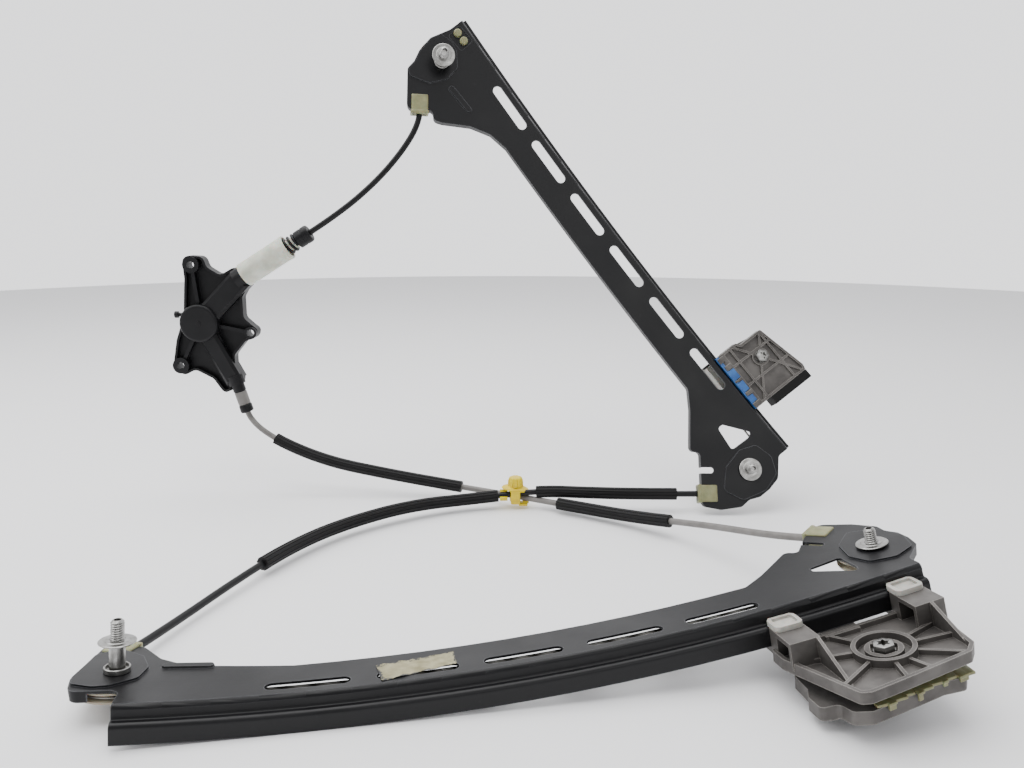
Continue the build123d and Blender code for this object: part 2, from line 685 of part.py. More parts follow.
def housing_solid():
    back = -housing_depth
    face = housing_outline()
    solid = extrude(Pos(0, 0, back) * face, flange_height)
    rim = face - offset(face, -2.0)
    solid += extrude(Pos(0, 0, back) * rim, flange_height + 5)
    bowl = extrude(Pos(0, 0, back) * Circle(bowl_radius), housing_depth)
    bowl = fillet(bowl.edges().group_by(Axis.Z)[-1], 2.5)
    for x, y, boss_radius in boss_spots:
        solid += extrude(Pos(x, y, back) * Circle(boss_radius), flange_height + 8)
        length = (x ** 2 + y ** 2) ** 0.5
        strip = Rot(0, 0, degrees(atan2(y, x))) * (Pos(length / 2, 0) * Rectangle(length, 3.0))
        solid += extrude(Pos(0, 0, back) * strip, flange_height + 6)
    for start, wide in ((tension_start, 19.0), (outlet_start, 15.0)):
        length = (start.X ** 2 + start.Y ** 2) ** 0.5 - 3
        strip = Rot(0, 0, degrees(atan2(start.Y, start.X))) * (Pos(length / 2, 0) * Rectangle(length, wide))
        arm = extrude(Pos(0, 0, back) * strip, housing_depth - 3)
        solid += chamfer(arm.edges().group_by(Axis.Z)[-1], 2.5)
    solid += bowl
    solid -= extrude(Pos(0, 0, back) * Circle(bowl_radius - bowl_wall), housing_depth - bowl_wall)
    solid += extrude(Pos(0, 0, back + 2) * Circle(drum_pin_radius), housing_depth - 2)
    solid += extrude(Pos(0, 0, -0.5) * Circle(2.0), 1.1)
    for x, y, _ in boss_spots:
        solid -= extrude(Pos(x, y, back) * Circle(3.2), housing_depth)
    peg = Plane((-14.0, 6.0, back + 4), x_dir=(0, 0, 1), z_dir=(-1, 0, 0))
    solid += extrude(peg * Circle(1.6), 11.0) + extrude(peg.offset(8) * Circle(3.0), 3.0)
    seat_ring = outlet_plane(tension_start, tension_way, -8)
    solid += extrude(seat_ring * Circle(sleeve_radius - 1.6), 8 + 6)
    solid += extrude(outlet_plane(outlet_start, outlet_way, -8) * Circle(outlet_ferrule_radius + 1.8), 8)
    for start, way in ((tension_start, tension_way), (outlet_start, outlet_way)):
        solid -= extrude(outlet_plane(start, way, -62) * Circle(cable_radius + 0.8), 70)
    around = Circle(sleeve_radius + 4) - Circle(sleeve_radius - 1.6)
    solid -= extrude(outlet_plane(tension_start, tension_way, 0) * around, sleeve_length)
    solid -= extrude(outlet_plane(outlet_start, outlet_way, 0) * Circle(outlet_ferrule_radius + 6), 20)
    solid -= extrude(Pos(0, 0, back) * (Circle(bowl_radius - bowl_wall) - Circle(drum_pin_radius)),
                     housing_depth - bowl_wall)
    return solid


def drum_solid():
    outer = bowl_radius - bowl_wall - 0.6
    bore = drum_pin_radius + running_fit
    back, front = -housing_depth + 1, -bowl_wall - 0.4
    solid = extrude(Pos(0, 0, back) * (Circle(outer) - Circle(bore)), front - back)
    pitch = 2.4
    turns = int((front - back - 3) / pitch)
    for i in range(turns):
        groove = Plane.XZ * (Pos(outer, back + 2.2 + i * pitch) * Circle(cable_radius))
        solid -= revolve(groove, Axis.Z)
    socket = Circle(drum_pin_radius + 3.2)
    for spot in PolarLocations(drum_pin_radius + 3.6, 12):
        socket += spot * Rectangle(2.6, 1.5)
    return solid - extrude(Pos(0, 0, back) * (socket - Circle(bore)), 8)


def tension_sleeve_solid():
    start = outlet_plane(tension_start, tension_way, 0)
    tube = Circle(sleeve_radius) - Circle(sleeve_radius - 1.6)
    solid = extrude(start * tube, sleeve_length)
    lip = extrude(start.offset(sleeve_length - 2) * (Circle(sleeve_radius) - Circle(cap_radius - 2)), 2)
    return solid + lip


def bellows_solid():
    start = outlet_plane(tension_start, tension_way, sleeve_length)
    ring = Circle(cap_radius - 1.2) - Circle(conduit_radius + 0.2)
    solid = extrude(start * ring, bellows_length)
    ridges = 4
    pitch = bellows_length / ridges
    for i in range(ridges):
        wide = Circle(cap_radius + 0.6) - Circle(cap_radius - 2)
        solid += extrude(start.offset((i + 0.2) * pitch) * wide, 0.55 * pitch)
    return solid


def cap_solid():
    start = outlet_plane(tension_start, tension_way, sleeve_length + bellows_length)
    body = extrude(start * Circle(cap_radius), cap_length)
    body = chamfer(body.edges().filter_by(GeomType.CIRCLE), 1.0)
    return body - extrude(start * Circle(conduit_radius), cap_length)


def outlet_ferrule_solid():
    start = outlet_plane(outlet_start, outlet_way, 0)
    body = extrude(start * Circle(outlet_ferrule_radius), outlet_ferrule_length)
    waist = Circle(outlet_ferrule_radius) - Circle(outlet_ferrule_radius - 0.8)
    body -= extrude(start.offset(7) * waist, outlet_ferrule_length - 14)
    body = body - extrude(start * Circle(cable_radius + 0.8), outlet_ferrule_length)
    return body - extrude(start.offset(outlet_ferrule_length - 5) * Circle(conduit_radius), 5)


def build_housing():
    parts = {
        "drum_housing": housing_solid(),
        "cable_drum": drum_solid(),
        "tension_sleeve": tension_sleeve_solid(),
        "tension_bellows": bellows_solid(),
        "tension_cap": cap_solid(),
        "outlet_ferrule": outlet_ferrule_solid(),
    }
    for name, solid in parts.items():
        nodes[name] = housing_plane * solid


def in_object(local):
    return housing_plane.from_local_coords(local)


# A conduit's line: straight runs with tangent arcs, as wide as the shorter run next to each corner allows
def route_line(points):
    spots = [Vector(p) for p in points]
    radii = []
    for a, b, c in zip(spots, spots[1:], spots[2:]):
        half_turn = radians((b - a).get_angle(c - b)) / 2
        radii.append(0.45 * min((b - a).length, (c - b).length) / tan(half_turn))
    line = FilletPolyline(*spots, radius=radii)
    print("conduit bends", [round(r, 1) for r in radii], "length", round(line.length, 1))
    return line


def tube_along(line, outer, inner=0.0, first=0, last=None):
    edges = line.edges()[2 * first:None if last is None else 2 * last + 1]
    path = Wire(edges)
    start = Plane(path @ 0, z_dir=path % 0)
    ring = Circle(outer) - Circle(inner) if inner else Circle(outer)
    solid = sweep(start * ring, path=path)
    area = pi * (outer ** 2 - inner ** 2)
    print("  swept volume over section times length", round(solid.volume / (area * path.length), 4))
    return solid


def build_conduits(front, rear):
    cap_end = tension_start + tension_way.normalized() * (sleeve_length + bellows_length + cap_length)
    start_1 = in_object(cap_end)
    lead_1 = in_object(cap_end + tension_way.normalized() * 30)
    top_mouth, top_out = rear.mouth("upper")
    drop_start = outlet_start + outlet_way.normalized() * outlet_ferrule_length
    start_2 = in_object(drop_start)
    lead_2 = in_object(drop_start + outlet_way.normalized() * 34)
    low_mouth, low_out = front.mouth("lower")
    back_mouth, back_out = rear.mouth("lower")
    left_mouth, left_out = front.mouth("upper")
    tension_route = [start_1, lead_1, (-106.0, 757.0, 281.0), top_mouth + top_out * 24, top_mouth]
    return_route = [
        start_2, lead_2, (-170.0, 745.0, 25.0), (-105.0, 737.0, 16.0), (-45.0, 727.0, 9.0),
        (5.0, 708.0, 8.5), (54.0, 684.0, 8.0), (100.0, 655.0, 9.0), (142.0, 614.0, 18.0),
        low_mouth + low_out * 32, low_mouth,
    ]
    cross_route = [
        back_mouth, back_mouth + back_out * 34, (68.0, 694.0, 15.0), (22.0, 703.0, 20.0),
        (-30.0, 702.0, 17.0), (-82.0, 678.0, 8.0), (-130.0, 638.0, 7.0), (-162.0, 592.0, 7.0),
        (-184.0, 540.0, 8.0), left_mouth + left_out * 28, left_mouth,
    ]
    lines = {}
    for name, route in (("tension", tension_route), ("return", return_route), ("cross", cross_route)):
        print(name, [tuple(round(c, 1) for c in Vector(p)) for p in route])
        lines[name] = route_line(route)
        nodes[f"{name}_conduit"] = tube_along(lines[name], conduit_radius)
    spans = (("return", 1, 3), ("return", 6, 7), ("cross", 1, 2), ("cross", 4, 7))
    for i, (name, first, last) in enumerate(spans, 1):
        nodes[f"ribbed_sleeve_{i}"] = tube_along(lines[name], sleeving_radius, conduit_radius, first, last)


def build_clip():
    x, y = clip_at
    stem = Pos(x, y, 12.2) * Box(10.0, 15.0, 24.0)
    clip = fillet(stem.edges().filter_by(Axis.Z), 2.0)
    for side, low, high in ((-7.5, 7.0, 20.0), (7.5, 7.0, 21.0)):
        hook = Pos(x + side, y, (low + high) / 2) * Box(9.0, 12.0, high - low)
        clip += fillet(hook.edges().filter_by(Axis.Y), 2.5)
    barbs = [(0, 0), (3.0, 0), (5.0, 1.6), (3.0, 2.6), (4.4, 4.2), (2.6, 5.2), (2.6, 6.4), (0, 7.4)]
    clip += Pos(x, y, 24.1) * revolve(Plane.XZ * make_face(Polyline(*barbs, close=True)), Axis.Z)
    for name in ("return_conduit", "cross_conduit"):
        clip -= nodes[name]
    nodes["cable_clip"] = clip


front_rail = Rail("front", True, front_plane, (0.387, -0.922), (33.0, 47.0), (91.0, 5), 21.0)
rear_rail = Rail("rear", False, rear_plane, (0.799, -0.601), (41.0, 41.0), (57.0, 6), -3.0)
build_rail(front_rail)
build_rail(rear_rail)
build_front_carriage(front_rail)
build_rear_carriage(rear_rail)
build_housing()
build_conduits(front_rail, rear_rail)
build_clip()

os.makedirs("parts", exist_ok=True)
to_origin = Pos(*[-c for c in table_origin])
for node, solid in nodes.items():
    export_step(to_origin * solid, f"parts/{node}.step")
whole = Compound([to_origin * s for s in nodes.values()]).bounding_box()
print(len(nodes), "nodes", whole.min, whole.max)
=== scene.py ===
import math

import bmesh
import bpy
from mathutils import Matrix, Vector


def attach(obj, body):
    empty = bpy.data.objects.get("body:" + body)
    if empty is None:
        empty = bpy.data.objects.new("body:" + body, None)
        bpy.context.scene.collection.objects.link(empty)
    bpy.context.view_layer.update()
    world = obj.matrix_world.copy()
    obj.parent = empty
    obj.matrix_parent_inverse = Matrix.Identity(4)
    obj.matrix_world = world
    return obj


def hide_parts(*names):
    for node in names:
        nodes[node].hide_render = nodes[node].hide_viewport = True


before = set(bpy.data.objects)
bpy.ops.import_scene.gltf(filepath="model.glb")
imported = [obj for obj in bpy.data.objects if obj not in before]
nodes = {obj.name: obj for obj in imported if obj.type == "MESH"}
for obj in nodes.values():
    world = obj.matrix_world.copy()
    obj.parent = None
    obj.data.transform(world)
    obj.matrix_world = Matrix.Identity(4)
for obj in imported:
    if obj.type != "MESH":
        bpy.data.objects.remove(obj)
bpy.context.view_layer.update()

print("frame loaded:", len(nodes), "solids")

# Places are given in millimetres on the table and turned into metres in the model's own frame
tableOrigin = Vector((-21.03, 584.13, -0.22))


def onTable(x, y, z):
    return (Vector((x, y, z)) - tableOrigin) / 1000


def linear(hexCode):  # the standard curve from sRGB to linear light
    parts = [int(hexCode[i:i + 2], 16) / 255 for i in (1, 3, 5)]
    return [c / 12.92 if c <= 0.04045 else ((c + 0.055) / 1.055) ** 2.4 for c in parts] + [1.0]


def perMetre(millimetres):  # texture scale for one feature every so many millimetres
    return 1000 / millimetres


def addNode(tree, kind, settings, sockets):
    node = tree.nodes.new("ShaderNode" + kind)
    for name, value in settings.items():
        setattr(node, name, value)
    for name, value in sockets.items():
        if isinstance(value, bpy.types.NodeSocket):
            tree.links.new(value, node.inputs[name])
        else:
            node.inputs[name].default_value = value
    return node


cameraSetup = dict(spot=(0, 0, 257), pitch=12.0, focalPixels=870, imageWidth=1024, sensor=36, nearest=0.01)


def addCamera(setup):
    data = bpy.data.cameras.new("photoCamera")
    data.sensor_width = setup["sensor"]
    data.lens = setup["focalPixels"] / setup["imageWidth"] * setup["sensor"]
    data.clip_start = setup["nearest"]
    camera = bpy.data.objects.new("photoCamera", data)
    camera.location = onTable(*setup["spot"])
    camera.rotation_euler = (math.radians(90 - setup["pitch"]), 0, 0)
    bpy.context.scene.collection.objects.link(camera)
    bpy.context.scene.camera = camera


# Wide soft panels in front of a sky that grows bright and pale towards the back; the room behind the camera
# is dimmer
lightSetup = dict(
    panels=[  # name, spot, target, size in metres, watts
        ("overheadPanel", (-0.25, 0.1, 1.35), (0, 0.05, 0.1), 1.5, 26.0),
        ("leftPanel", (-1.3, -0.4, 0.9), (0, 0.05, 0.12), 0.8, 7.0),
        ("frontPanel", (0.7, -1.4, 1.0), (0, 0, 0.12), 0.8, 5.0),
    ],
    sky="#f4f4f6", dim=0.5, bright=2.0, dimUpTo=-0.5, brightFrom=0.8,
)


def addLights(setup):
    for name, spot, target, size, watts in setup["panels"]:
        data = bpy.data.lights.new(name, "AREA")
        data.shape = "SQUARE"
        data.size = size
        data.energy = watts
        panel = bpy.data.objects.new(name, data)
        panel.location = spot
        panel.rotation_euler = (Vector(target) - Vector(spot)).to_track_quat("-Z", "Y").to_euler()
        bpy.context.scene.collection.objects.link(panel)
    world = bpy.data.worlds.new("paleStudio")
    world.use_nodes = True
    tree = world.node_tree
    sky = tree.nodes["Background"]
    sky.inputs["Color"].default_value = linear(setup["sky"])
    way = addNode(tree, "TexCoord", {}, {}).outputs["Generated"]
    depth = addNode(tree, "SeparateXYZ", {}, {0: way}).outputs["Y"]
    level = addNode(tree, "MapRange", {"interpolation_type": "SMOOTHSTEP"},
                    {"Value": depth, "From Min": setup["dimUpTo"], "From Max": setup["brightFrom"],
                     "To Min": setup["dim"], "To Max": setup["bright"]})
    tree.links.new(level.outputs[0], sky.inputs["Strength"])
    bpy.context.scene.world = world


addCamera(cameraSetup)
addLights(lightSetup)
print("camera and light set")


def newFinish(name, **sockets):  # a shader with its constant sockets set, and the object's own coordinates
    material = bpy.data.materials.new(name)
    material.use_nodes = True
    tree = material.node_tree
    shader = tree.nodes["Principled BSDF"]
    for socket, value in sockets.items():
        shader.inputs[socket.replace("_", " ")].default_value = value
    place = addNode(tree, "TexCoord", {}, {}).outputs["Object"]
    return material, tree, shader, place


def noise(tree, place, size, detail, roughness=0.5):  # patches of about the size in millimetres
    return addNode(tree, "TexNoise", {}, {"Vector": place, "Scale": perMetre(size), "Detail": detail,
                                          "Roughness": roughness}).outputs[0]


def spread(tree, value, source=(0, 1), target=(0, 1)):  # a value carried from one range to another
    return addNode(tree, "MapRange", {}, {"Value": value, "From Min": source[0], "From Max": source[1],
                                          "To Min": target[0], "To Max": target[1]}).outputs[0]


def blend(tree, share, first, second):  # two colours mixed; 6, 7 and 2 are the node's colour sockets
    return addNode(tree, "Mix", {"data_type": "RGBA"}, {0: share, 6: first, 7: second}).outputs[2]


def times(tree, first, second):
    return addNode(tree, "Math", {"operation": "MULTIPLY"}, {0: first, 1: second}).outputs[0]


def bumps(tree, height, strength, depth):  # depth in millimetres
    return addNode(tree, "Bump", {}, {"Height": height, "Strength": strength,
                                      "Distance": depth / 1000}).outputs[0]


def wornEdges(tree, look):  # 0 on flats, 1 where the surface turns within the look's edge width
    soft = addNode(tree, "Bevel", {"samples": 4}, {"Radius": look["edgeWidth"] / 1000})
    flat = addNode(tree, "NewGeometry", {}, {})
    match = addNode(tree, "VectorMath", {"operation": "DOT_PRODUCT"},
                    {0: soft.outputs["Normal"], 1: flat.outputs["Normal"]})
    return spread(tree, match.outputs["Value"], look["edgeMatch"])


def drive(tree, shader, **sources):  # links the shader's sockets, named with underscores
    for socket, source in sources.items():
        tree.links.new(source, shader.inputs[socket.replace("_", " ")])


# Dip-coated pressed steel: a thin satin black film, a little cloudy, rubbed to grey along the bends; that
# grey is partly real wear and partly a painted highlight line along every bend
coatedSteelLook = dict(
    # rubbed is the grey along the bends: partly rubbed wear, partly a painted highlight
    film="#0a0a0c", cloud="#121214", rubbed="#56575a", dust="#232324", shine=0.28, rough=(0.34, 0.5),
    cloudSize=38, cloudRange=(0.35, 0.7), roughRange=(0.3, 0.75), grainSize=1.1, grain=0.12, grainDepth=0.2,
    scuffSize=7, scuffRoughness=0.7, dustRange=(0.62, 0.8), dustShare=(0, 0.5),
    rubRange=(0.3, 0.62), rubAndHighlightShare=(0.5, 1), edgeWidth=0.9, edgeMatch=(0.985, 0.86),
)


def dipCoatedSteel(look):
    material, tree, shader, place = newFinish(
        "dipCoatedSteel", Metallic=0.0, Specular_IOR_Level=look["shine"])
    cloud = noise(tree, place, look["cloudSize"], detail=4)
    grain = noise(tree, place, look["grainSize"], detail=2)
    scuff = noise(tree, place, look["scuffSize"], detail=6, roughness=look["scuffRoughness"])
    film = blend(tree, spread(tree, cloud, look["cloudRange"]), linear(look["film"]), linear(look["cloud"]))
    specks = spread(tree, scuff, look["dustRange"], look["dustShare"])
    dusty = blend(tree, specks, film, linear(look["dust"]))
    # the edge share never drops below half, so every bend carries a continuous painted highlight line, with
    # rubbed wear patches on top
    patches = spread(tree, scuff, look["rubRange"], look["rubAndHighlightShare"])
    rubbed = times(tree, wornEdges(tree, look), patches)
    drive(tree, shader, Base_Color=blend(tree, rubbed, dusty, linear(look["rubbed"])),
          Roughness=spread(tree, cloud, look["roughRange"], look["rough"]),
          Normal=bumps(tree, grain, look["grain"], look["grainDepth"]))
    return material


# Bright zinc on turned steel: clean pale metal with faint grey handling marks
zincLook = dict(bright="#b4b4b2", dull="#6f6d69", rough=(0.18, 0.46), markSize=3.5, grainSize=0.5,
                grain=0.08, grainDepth=0.1)


def brightZinc(look):
    material, tree, shader, place = newFinish("brightZinc", Metallic=1.0)
    mark = noise(tree, place, look["markSize"], detail=5)
    grain = noise(tree, place, look["grainSize"], detail=1)
    drive(tree, shader, Base_Color=blend(tree, mark, linear(look["bright"]), linear(look["dull"])),
          Roughness=spread(tree, mark, target=look["rough"]),
          Normal=bumps(tree, grain, look["grain"], look["grainDepth"]))
    return material


# Die-cast zinc alloy, tumbled: dull warm grey with paler rubbed edges and a fine sandy skin
dieCastLook = dict(
    skin="#65625f", shade="#4d4a48", rubbed="#95918c", rough=(0.4, 0.62), metal=0.55, patchSize=14,
    patchRange=(0.35, 0.68), grainSize=0.9, grain=0.25, grainDepth=0.2,
    edgeWidth=0.8, edgeMatch=(0.985, 0.86),
)


def tumbledDieCast(look):
    material, tree, shader, place = newFinish("tumbledDieCast", Metallic=look["metal"])
    patch = noise(tree, place, look["patchSize"], detail=5)
    grain = noise(tree, place, look["grainSize"], detail=3)
    skin = blend(tree, spread(tree, patch, look["patchRange"]), linear(look["skin"]), linear(look["shade"]))
    drive(tree, shader, Base_Color=blend(tree, wornEdges(tree, look), skin, linear(look["rubbed"])),
          Roughness=spread(tree, patch, target=look["rough"]),
          Normal=bumps(tree, grain, look["grain"], look["grainDepth"]))
    return material


# Moulded plastics share one build: a colour that clouds a little, a moulded grain and paler edges
mouldedBuild = dict(cloudRange=(0.32, 0.68), grainDepth=0.2, glowDepth=2.0, edgeWidth=0.6,
                    edgeMatch=(0.985, 0.84), edgeShare=0.6)
mouldedLooks = {
    "natural_nylon": dict(
        name="naturalNylon", deep="#8d8573", pale="#a79f8b", edge="#b5ad9b", rough=(0.4, 0.55),
        cloudSize=8, grainSize=0.8, grain=0.08, glow=0.15, shine=0.5),
    "olive_nylon": dict(
        name="oliveNylon", deep="#767550", pale="#8d8d66", edge="#a6a684", rough=(0.34, 0.5),
        cloudSize=5, grainSize=0.7, grain=0.08, glow=0.2, shine=0.5),
    "white_nylon": dict(
        name="whiteNylon", deep="#9d9b93", pale="#b6b4ad", edge="#c6c4bd", rough=(0.42, 0.6),
        cloudSize=6, grainSize=0.7, grain=0.1, glow=0.12, shine=0.5),
    "blue_nylon": dict(
        name="blueNylon", deep="#1f4f8e", pale="#3569a8", edge="#5f8dbd", rough=(0.38, 0.52),
        cloudSize=7, grainSize=0.8, grain=0.08, glow=0.08, shine=0.5),
    "clear_nylon": dict(
        name="milkyNylon", deep="#b4b6a6", pale="#cfd1c4", edge="#dddfd5", rough=(0.3, 0.45),
        cloudSize=9, grainSize=0.9, grain=0.06, glow=0.3, shine=0.5),
    "black_plastic": dict(
        name="mouldedBlackPlastic", deep="#08080a", pale="#101012", edge="#29292b", rough=(0.36, 0.52),
        cloudSize=14, grainSize=0.8, grain=0.14, glow=0.0, shine=0.25),
    "yellow_plastic": dict(
        name="yellowPlastic", deep="#cbae00", pale="#e0c700", edge="#ecd510", rough=(0.38, 0.5),
        cloudSize=5, grainSize=0.7, grain=0.08, glow=0.1, shine=0.5),
    "seat_rubber": dict(
        name="seatRubber", deep="#0a0a0a", pale="#111110", edge="#1e1e1d", rough=(0.6, 0.78),
        cloudSize=6, grainSize=0.6, grain=0.2, glow=0.0, shine=0.25),
    "black_conduit": dict(
        name="blackConduit", deep="#0b0b0c", pale="#131315", edge="#1c1c1e", rough=(0.34, 0.46),
        cloudSize=12, grainSize=0.9, grain=0.06, glow=0.0, shine=0.25),
    "grey_conduit": dict(
        name="greyConduit", deep="#625f5c", pale="#797673", edge="#817e7b", rough=(0.4, 0.55),
        cloudSize=12, grainSize=0.9, grain=0.08, glow=0.0, shine=0.5),
    "ribbed_rubber": dict(
        name="ribbedRubber", deep="#0a0a0a", pale="#121112", edge="#232223", rough=(0.48, 0.64),
        cloudSize=10, grainSize=0.8, grain=0.12, glow=0.0, shine=0.25),
}


def mouldedPlastic(build, look):
    material, tree, shader, place = newFinish(
        look["name"], Subsurface_Weight=look["glow"], Subsurface_Scale=build["glowDepth"] / 1000,
        Specular_IOR_Level=look["shine"])
    cloud = noise(tree, place, look["cloudSize"], detail=4)
    grain = noise(tree, place, look["grainSize"], detail=2)
    body = blend(tree, spread(tree, cloud, build["cloudRange"]), linear(look["deep"]), linear(look["pale"]))
    edge = times(tree, wornEdges(tree, build), build["edgeShare"])
    drive(tree, shader, Base_Color=blend(tree, edge, body, linear(look["edge"])),
          Roughness=spread(tree, cloud, target=look["rough"]),
          Normal=bumps(tree, grain, look["grain"], build["grainDepth"]))
    return material


# Greased wire rope: dull steel strands with dark oil in the lay
wireLook = dict(strand="#8d8b86", oil="#2b2824", metal=0.8, rough=(0.25, 0.5), layPerRadian=1.4, wander=0.4,
                radiansPerUnit=20, smearSize=11, lay=0.5, layDepth=0.2)  # a wave texture turns 20 per unit


def greasedWire(look):
    material, tree, shader, place = newFinish("greasedWire", Metallic=look["metal"])
    scale = perMetre(look["layPerRadian"]) / look["radiansPerUnit"]
    lay = addNode(tree, "TexWave", {"wave_type": "BANDS", "bands_direction": "DIAGONAL"},
                  {"Vector": place, "Scale": scale, "Distortion": look["wander"]}).outputs["Fac"]
    smear = noise(tree, place, look["smearSize"], detail=3)
    drive(tree, shader, Base_Color=blend(tree, lay, linear(look["oil"]), linear(look["strand"])),
          Roughness=spread(tree, smear, target=look["rough"]),
          Normal=bumps(tree, lay, look["lay"], look["layDepth"]))
    return material


# Worn paper label: yellowed, stained, with the film showing through where it has rubbed away
labelLook = dict(paper="#a09a7c", stain="#7d7758", bare="#101112", rough=(0.75, 0.42), stainSize=6,
                 stainRange=(0.35, 0.7), wearSize=4, wearRoughness=0.75, rimWear=0.3, goneRange=(0.72, 0.8))


def wornPaper(look):
    material, tree, shader, place = newFinish("wornPaper", Metallic=0.0)
    stain = noise(tree, place, look["stainSize"], detail=6)
    wear = noise(tree, place, look["wearSize"], detail=8, roughness=look["wearRoughness"])
    rim = addNode(tree, "Attribute", {"attribute_name": "rim"}, {}).outputs["Fac"]
    loss = addNode(tree, "Math", {"operation": "MULTIPLY_ADD"}, {0: rim, 1: look["rimWear"], 2: wear})
    gone = spread(tree, loss.outputs[0], look["goneRange"])
    stained = spread(tree, stain, look["stainRange"])
    paper = blend(tree, stained, linear(look["paper"]), linear(look["stain"]))
    drive(tree, shader, Base_Color=blend(tree, gone, paper, linear(look["bare"])),
          Roughness=spread(tree, gone, target=look["rough"]))
    return material


finishes = {slot: mouldedPlastic(mouldedBuild, look) for slot, look in mouldedLooks.items()}
finishes["coated_steel"] = dipCoatedSteel(coatedSteelLook)
finishes["zinc_plate"] = brightZinc(zincLook)
finishes["die_cast"] = tumbledDieCast(dieCastLook)
finishes["wire_rope"] = greasedWire(wireLook)
finishes["paper_label"] = wornPaper(labelLook)

solidsOfSlot = {
    "coated_steel": ["front_rail", "rear_rail"],
    "wire_rope": ["front_cable", "rear_cable"],
    "die_cast": ["front_carriage", "rear_carriage", "front_clamp", "rear_clamp"],
    "white_nylon": ["front_insert_1", "front_insert_2", "front_shoe_1", "front_shoe_2", "rear_shoe",
                    "cable_drum"],
    "blue_nylon": ["rear_slider"],
    "seat_rubber": ["front_glass_seat", "rear_glass_seat"],
    "black_plastic": ["drum_housing", "tension_bellows", "tension_cap", "outlet_ferrule"],
    "clear_nylon": ["tension_sleeve"],
    "olive_nylon": ["rear_end_button_1", "rear_end_button_2"],
    "yellow_plastic": ["cable_clip"],
    "grey_conduit": ["return_conduit"],
    "black_conduit": ["tension_conduit", "cross_conduit"],
    "ribbed_rubber": ["ribbed_sleeve_1", "ribbed_sleeve_2", "ribbed_sleeve_3", "ribbed_sleeve_4"],
    "zinc_plate": ["front_clamp_bolt", "front_clamp_nut", "rear_clamp_bolt", "rear_clamp_nut",
                   "front_cable_nipple", "rear_cable_nipple"],
    "natural_nylon": [],
}
for side in ("front", "rear"):
    for end in ("upper", "lower"):
        solidsOfSlot["natural_nylon"].append(f"{side}_{end}_pulley")
        solidsOfSlot["olive_nylon"].append(f"{side}_{end}_ferrule")
        solidsOfSlot["zinc_plate"] += [f"{side}_{end}_{part}" for part in ("axle", "stud", "washer")]
for slot, names in solidsOfSlot.items():
    for name in names:
        nodes[name].data.materials.clear()
        nodes[name].data.materials.append(finishes[slot])
print("finishes on", sum(len(names) for names in solidsOfSlot.values()), "solids")


# A spot on a rail comes from its distance along the arc (t), across the web (u) and off it (w)
railSetup = dict(bend=1400.0, length=454.0)
frontRail = dict(middle=(10.6, 411.2, 22.0), along=(0.9796, 0.1839, 0.0813), off=(-0.095, 0.085, 0.992),
                 turn=-1)
rearRail = dict(middle=(95.3, 760.2, 221.4), along=(0.604, -0.172, -0.778), off=(0.091, -0.955, 0.283),
                turn=1)


def railFrame(rail):
    along = Vector(rail["along"]).normalized()
    off = Vector(rail["off"])
    off = (off - along * along.dot(off)).normalized()
    across = off.cross(along)
    turn = Matrix((along, across, off)).transposed().to_4x4()
    return Matrix.Translation(onTable(*rail["middle"])) @ turn


def onRail(rail, t, u, w):
    bend = railSetup["bend"]
    turn = (t - railSetup["length"] / 2) / bend
    reach = bend - w
    spot = Vector((reach * math.sin(turn), rail["turn"] * u, bend - reach * math.cos(turn))) / 1000
    return railFrame(rail) @ spot


def offRail(rail, t):  # the way that points straight off the web at t
    return (onRail(rail, t, 0, 1) - onRail(rail, t, 0, 0)).normalized()


def standing(spot, way):  # a matrix at the spot whose z runs along the way
    return Matrix.Translation(spot) @ way.to_track_quat("Z", "Y").to_matrix().to_4x4()


def seatOn(rail, t, u, way=(1, 0)):  # a matrix on the web whose x runs the given way along and across it
    spot, off = onRail(rail, t, u, 0), offRail(rail, t)
    forward = onRail(rail, t + way[0], u + way[1], 0) - spot
    across = off.cross(forward).normalized()
    turn = Matrix((across.cross(off), across, off)).transposed().to_4x4()
    return Matrix.Translation(spot) @ turn


smoothBelow = math.radians(32)  # edges that turn more stay sharp


def addPiece(name, mesh, body, slot, *solids):  # a piece that rides on a body and may stand for solids
    for face in mesh.faces:
        face.smooth = True
    data = bpy.data.meshes.new(name)
    mesh.to_mesh(data)
    mesh.free()
    data.set_sharp_from_angle(angle=smoothBelow)
    data.materials.append(finishes[slot])
    piece = bpy.data.objects.new(name, data)
    bpy.context.scene.collection.objects.link(piece)
    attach(piece, body)
    if solids:
        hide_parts(*solids)
    return piece


# Conduits: one smooth line each, along the route points
conduitSetup = dict(radius=0.0025, resolution=24, roundness=4)
conduits = {
    "tensionCord": dict(node="tension_conduit", slot="black_conduit", length=0.140, points=[
        (-172.5, 754, 229.2), (-145.5, 754, 246.1), (-114.5, 757, 272), (-92.5, 761, 297), (-79.6, 765, 318),
        (-78.3, 766.5, 326.6)]),
    "returnCord": dict(node="return_conduit", slot="grey_conduit", length=0.527, points=[
        (-235.7, 754, 71.8), (-231.2, 754, 56.5), (-172, 745, 29.8), (-105, 737, 18), (-45, 727, 10.5),
        (5, 708, 8.3), (53, 684, 7.6), (100.5, 655, 9), (143, 614, 19), (179, 550.5, 35.2),
        (194, 536.9, 39.8)]),
    "crossCord": dict(node="cross_conduit", slot="black_conduit", length=0.515, points=[
        (155, 693.8, 15.5), (121, 693.8, 15.3), (68, 694, 16.2), (22.4, 702.5, 15.4), (-29.2, 701.5, 8.8),
        (-84, 678, 11), (-133, 638, 9.6), (-162.4, 592, 9.6), (-184.4, 540, 8), (-206.7, 479.6, 5.6),
        (-214.1, 447.3, 8.7)]),
}


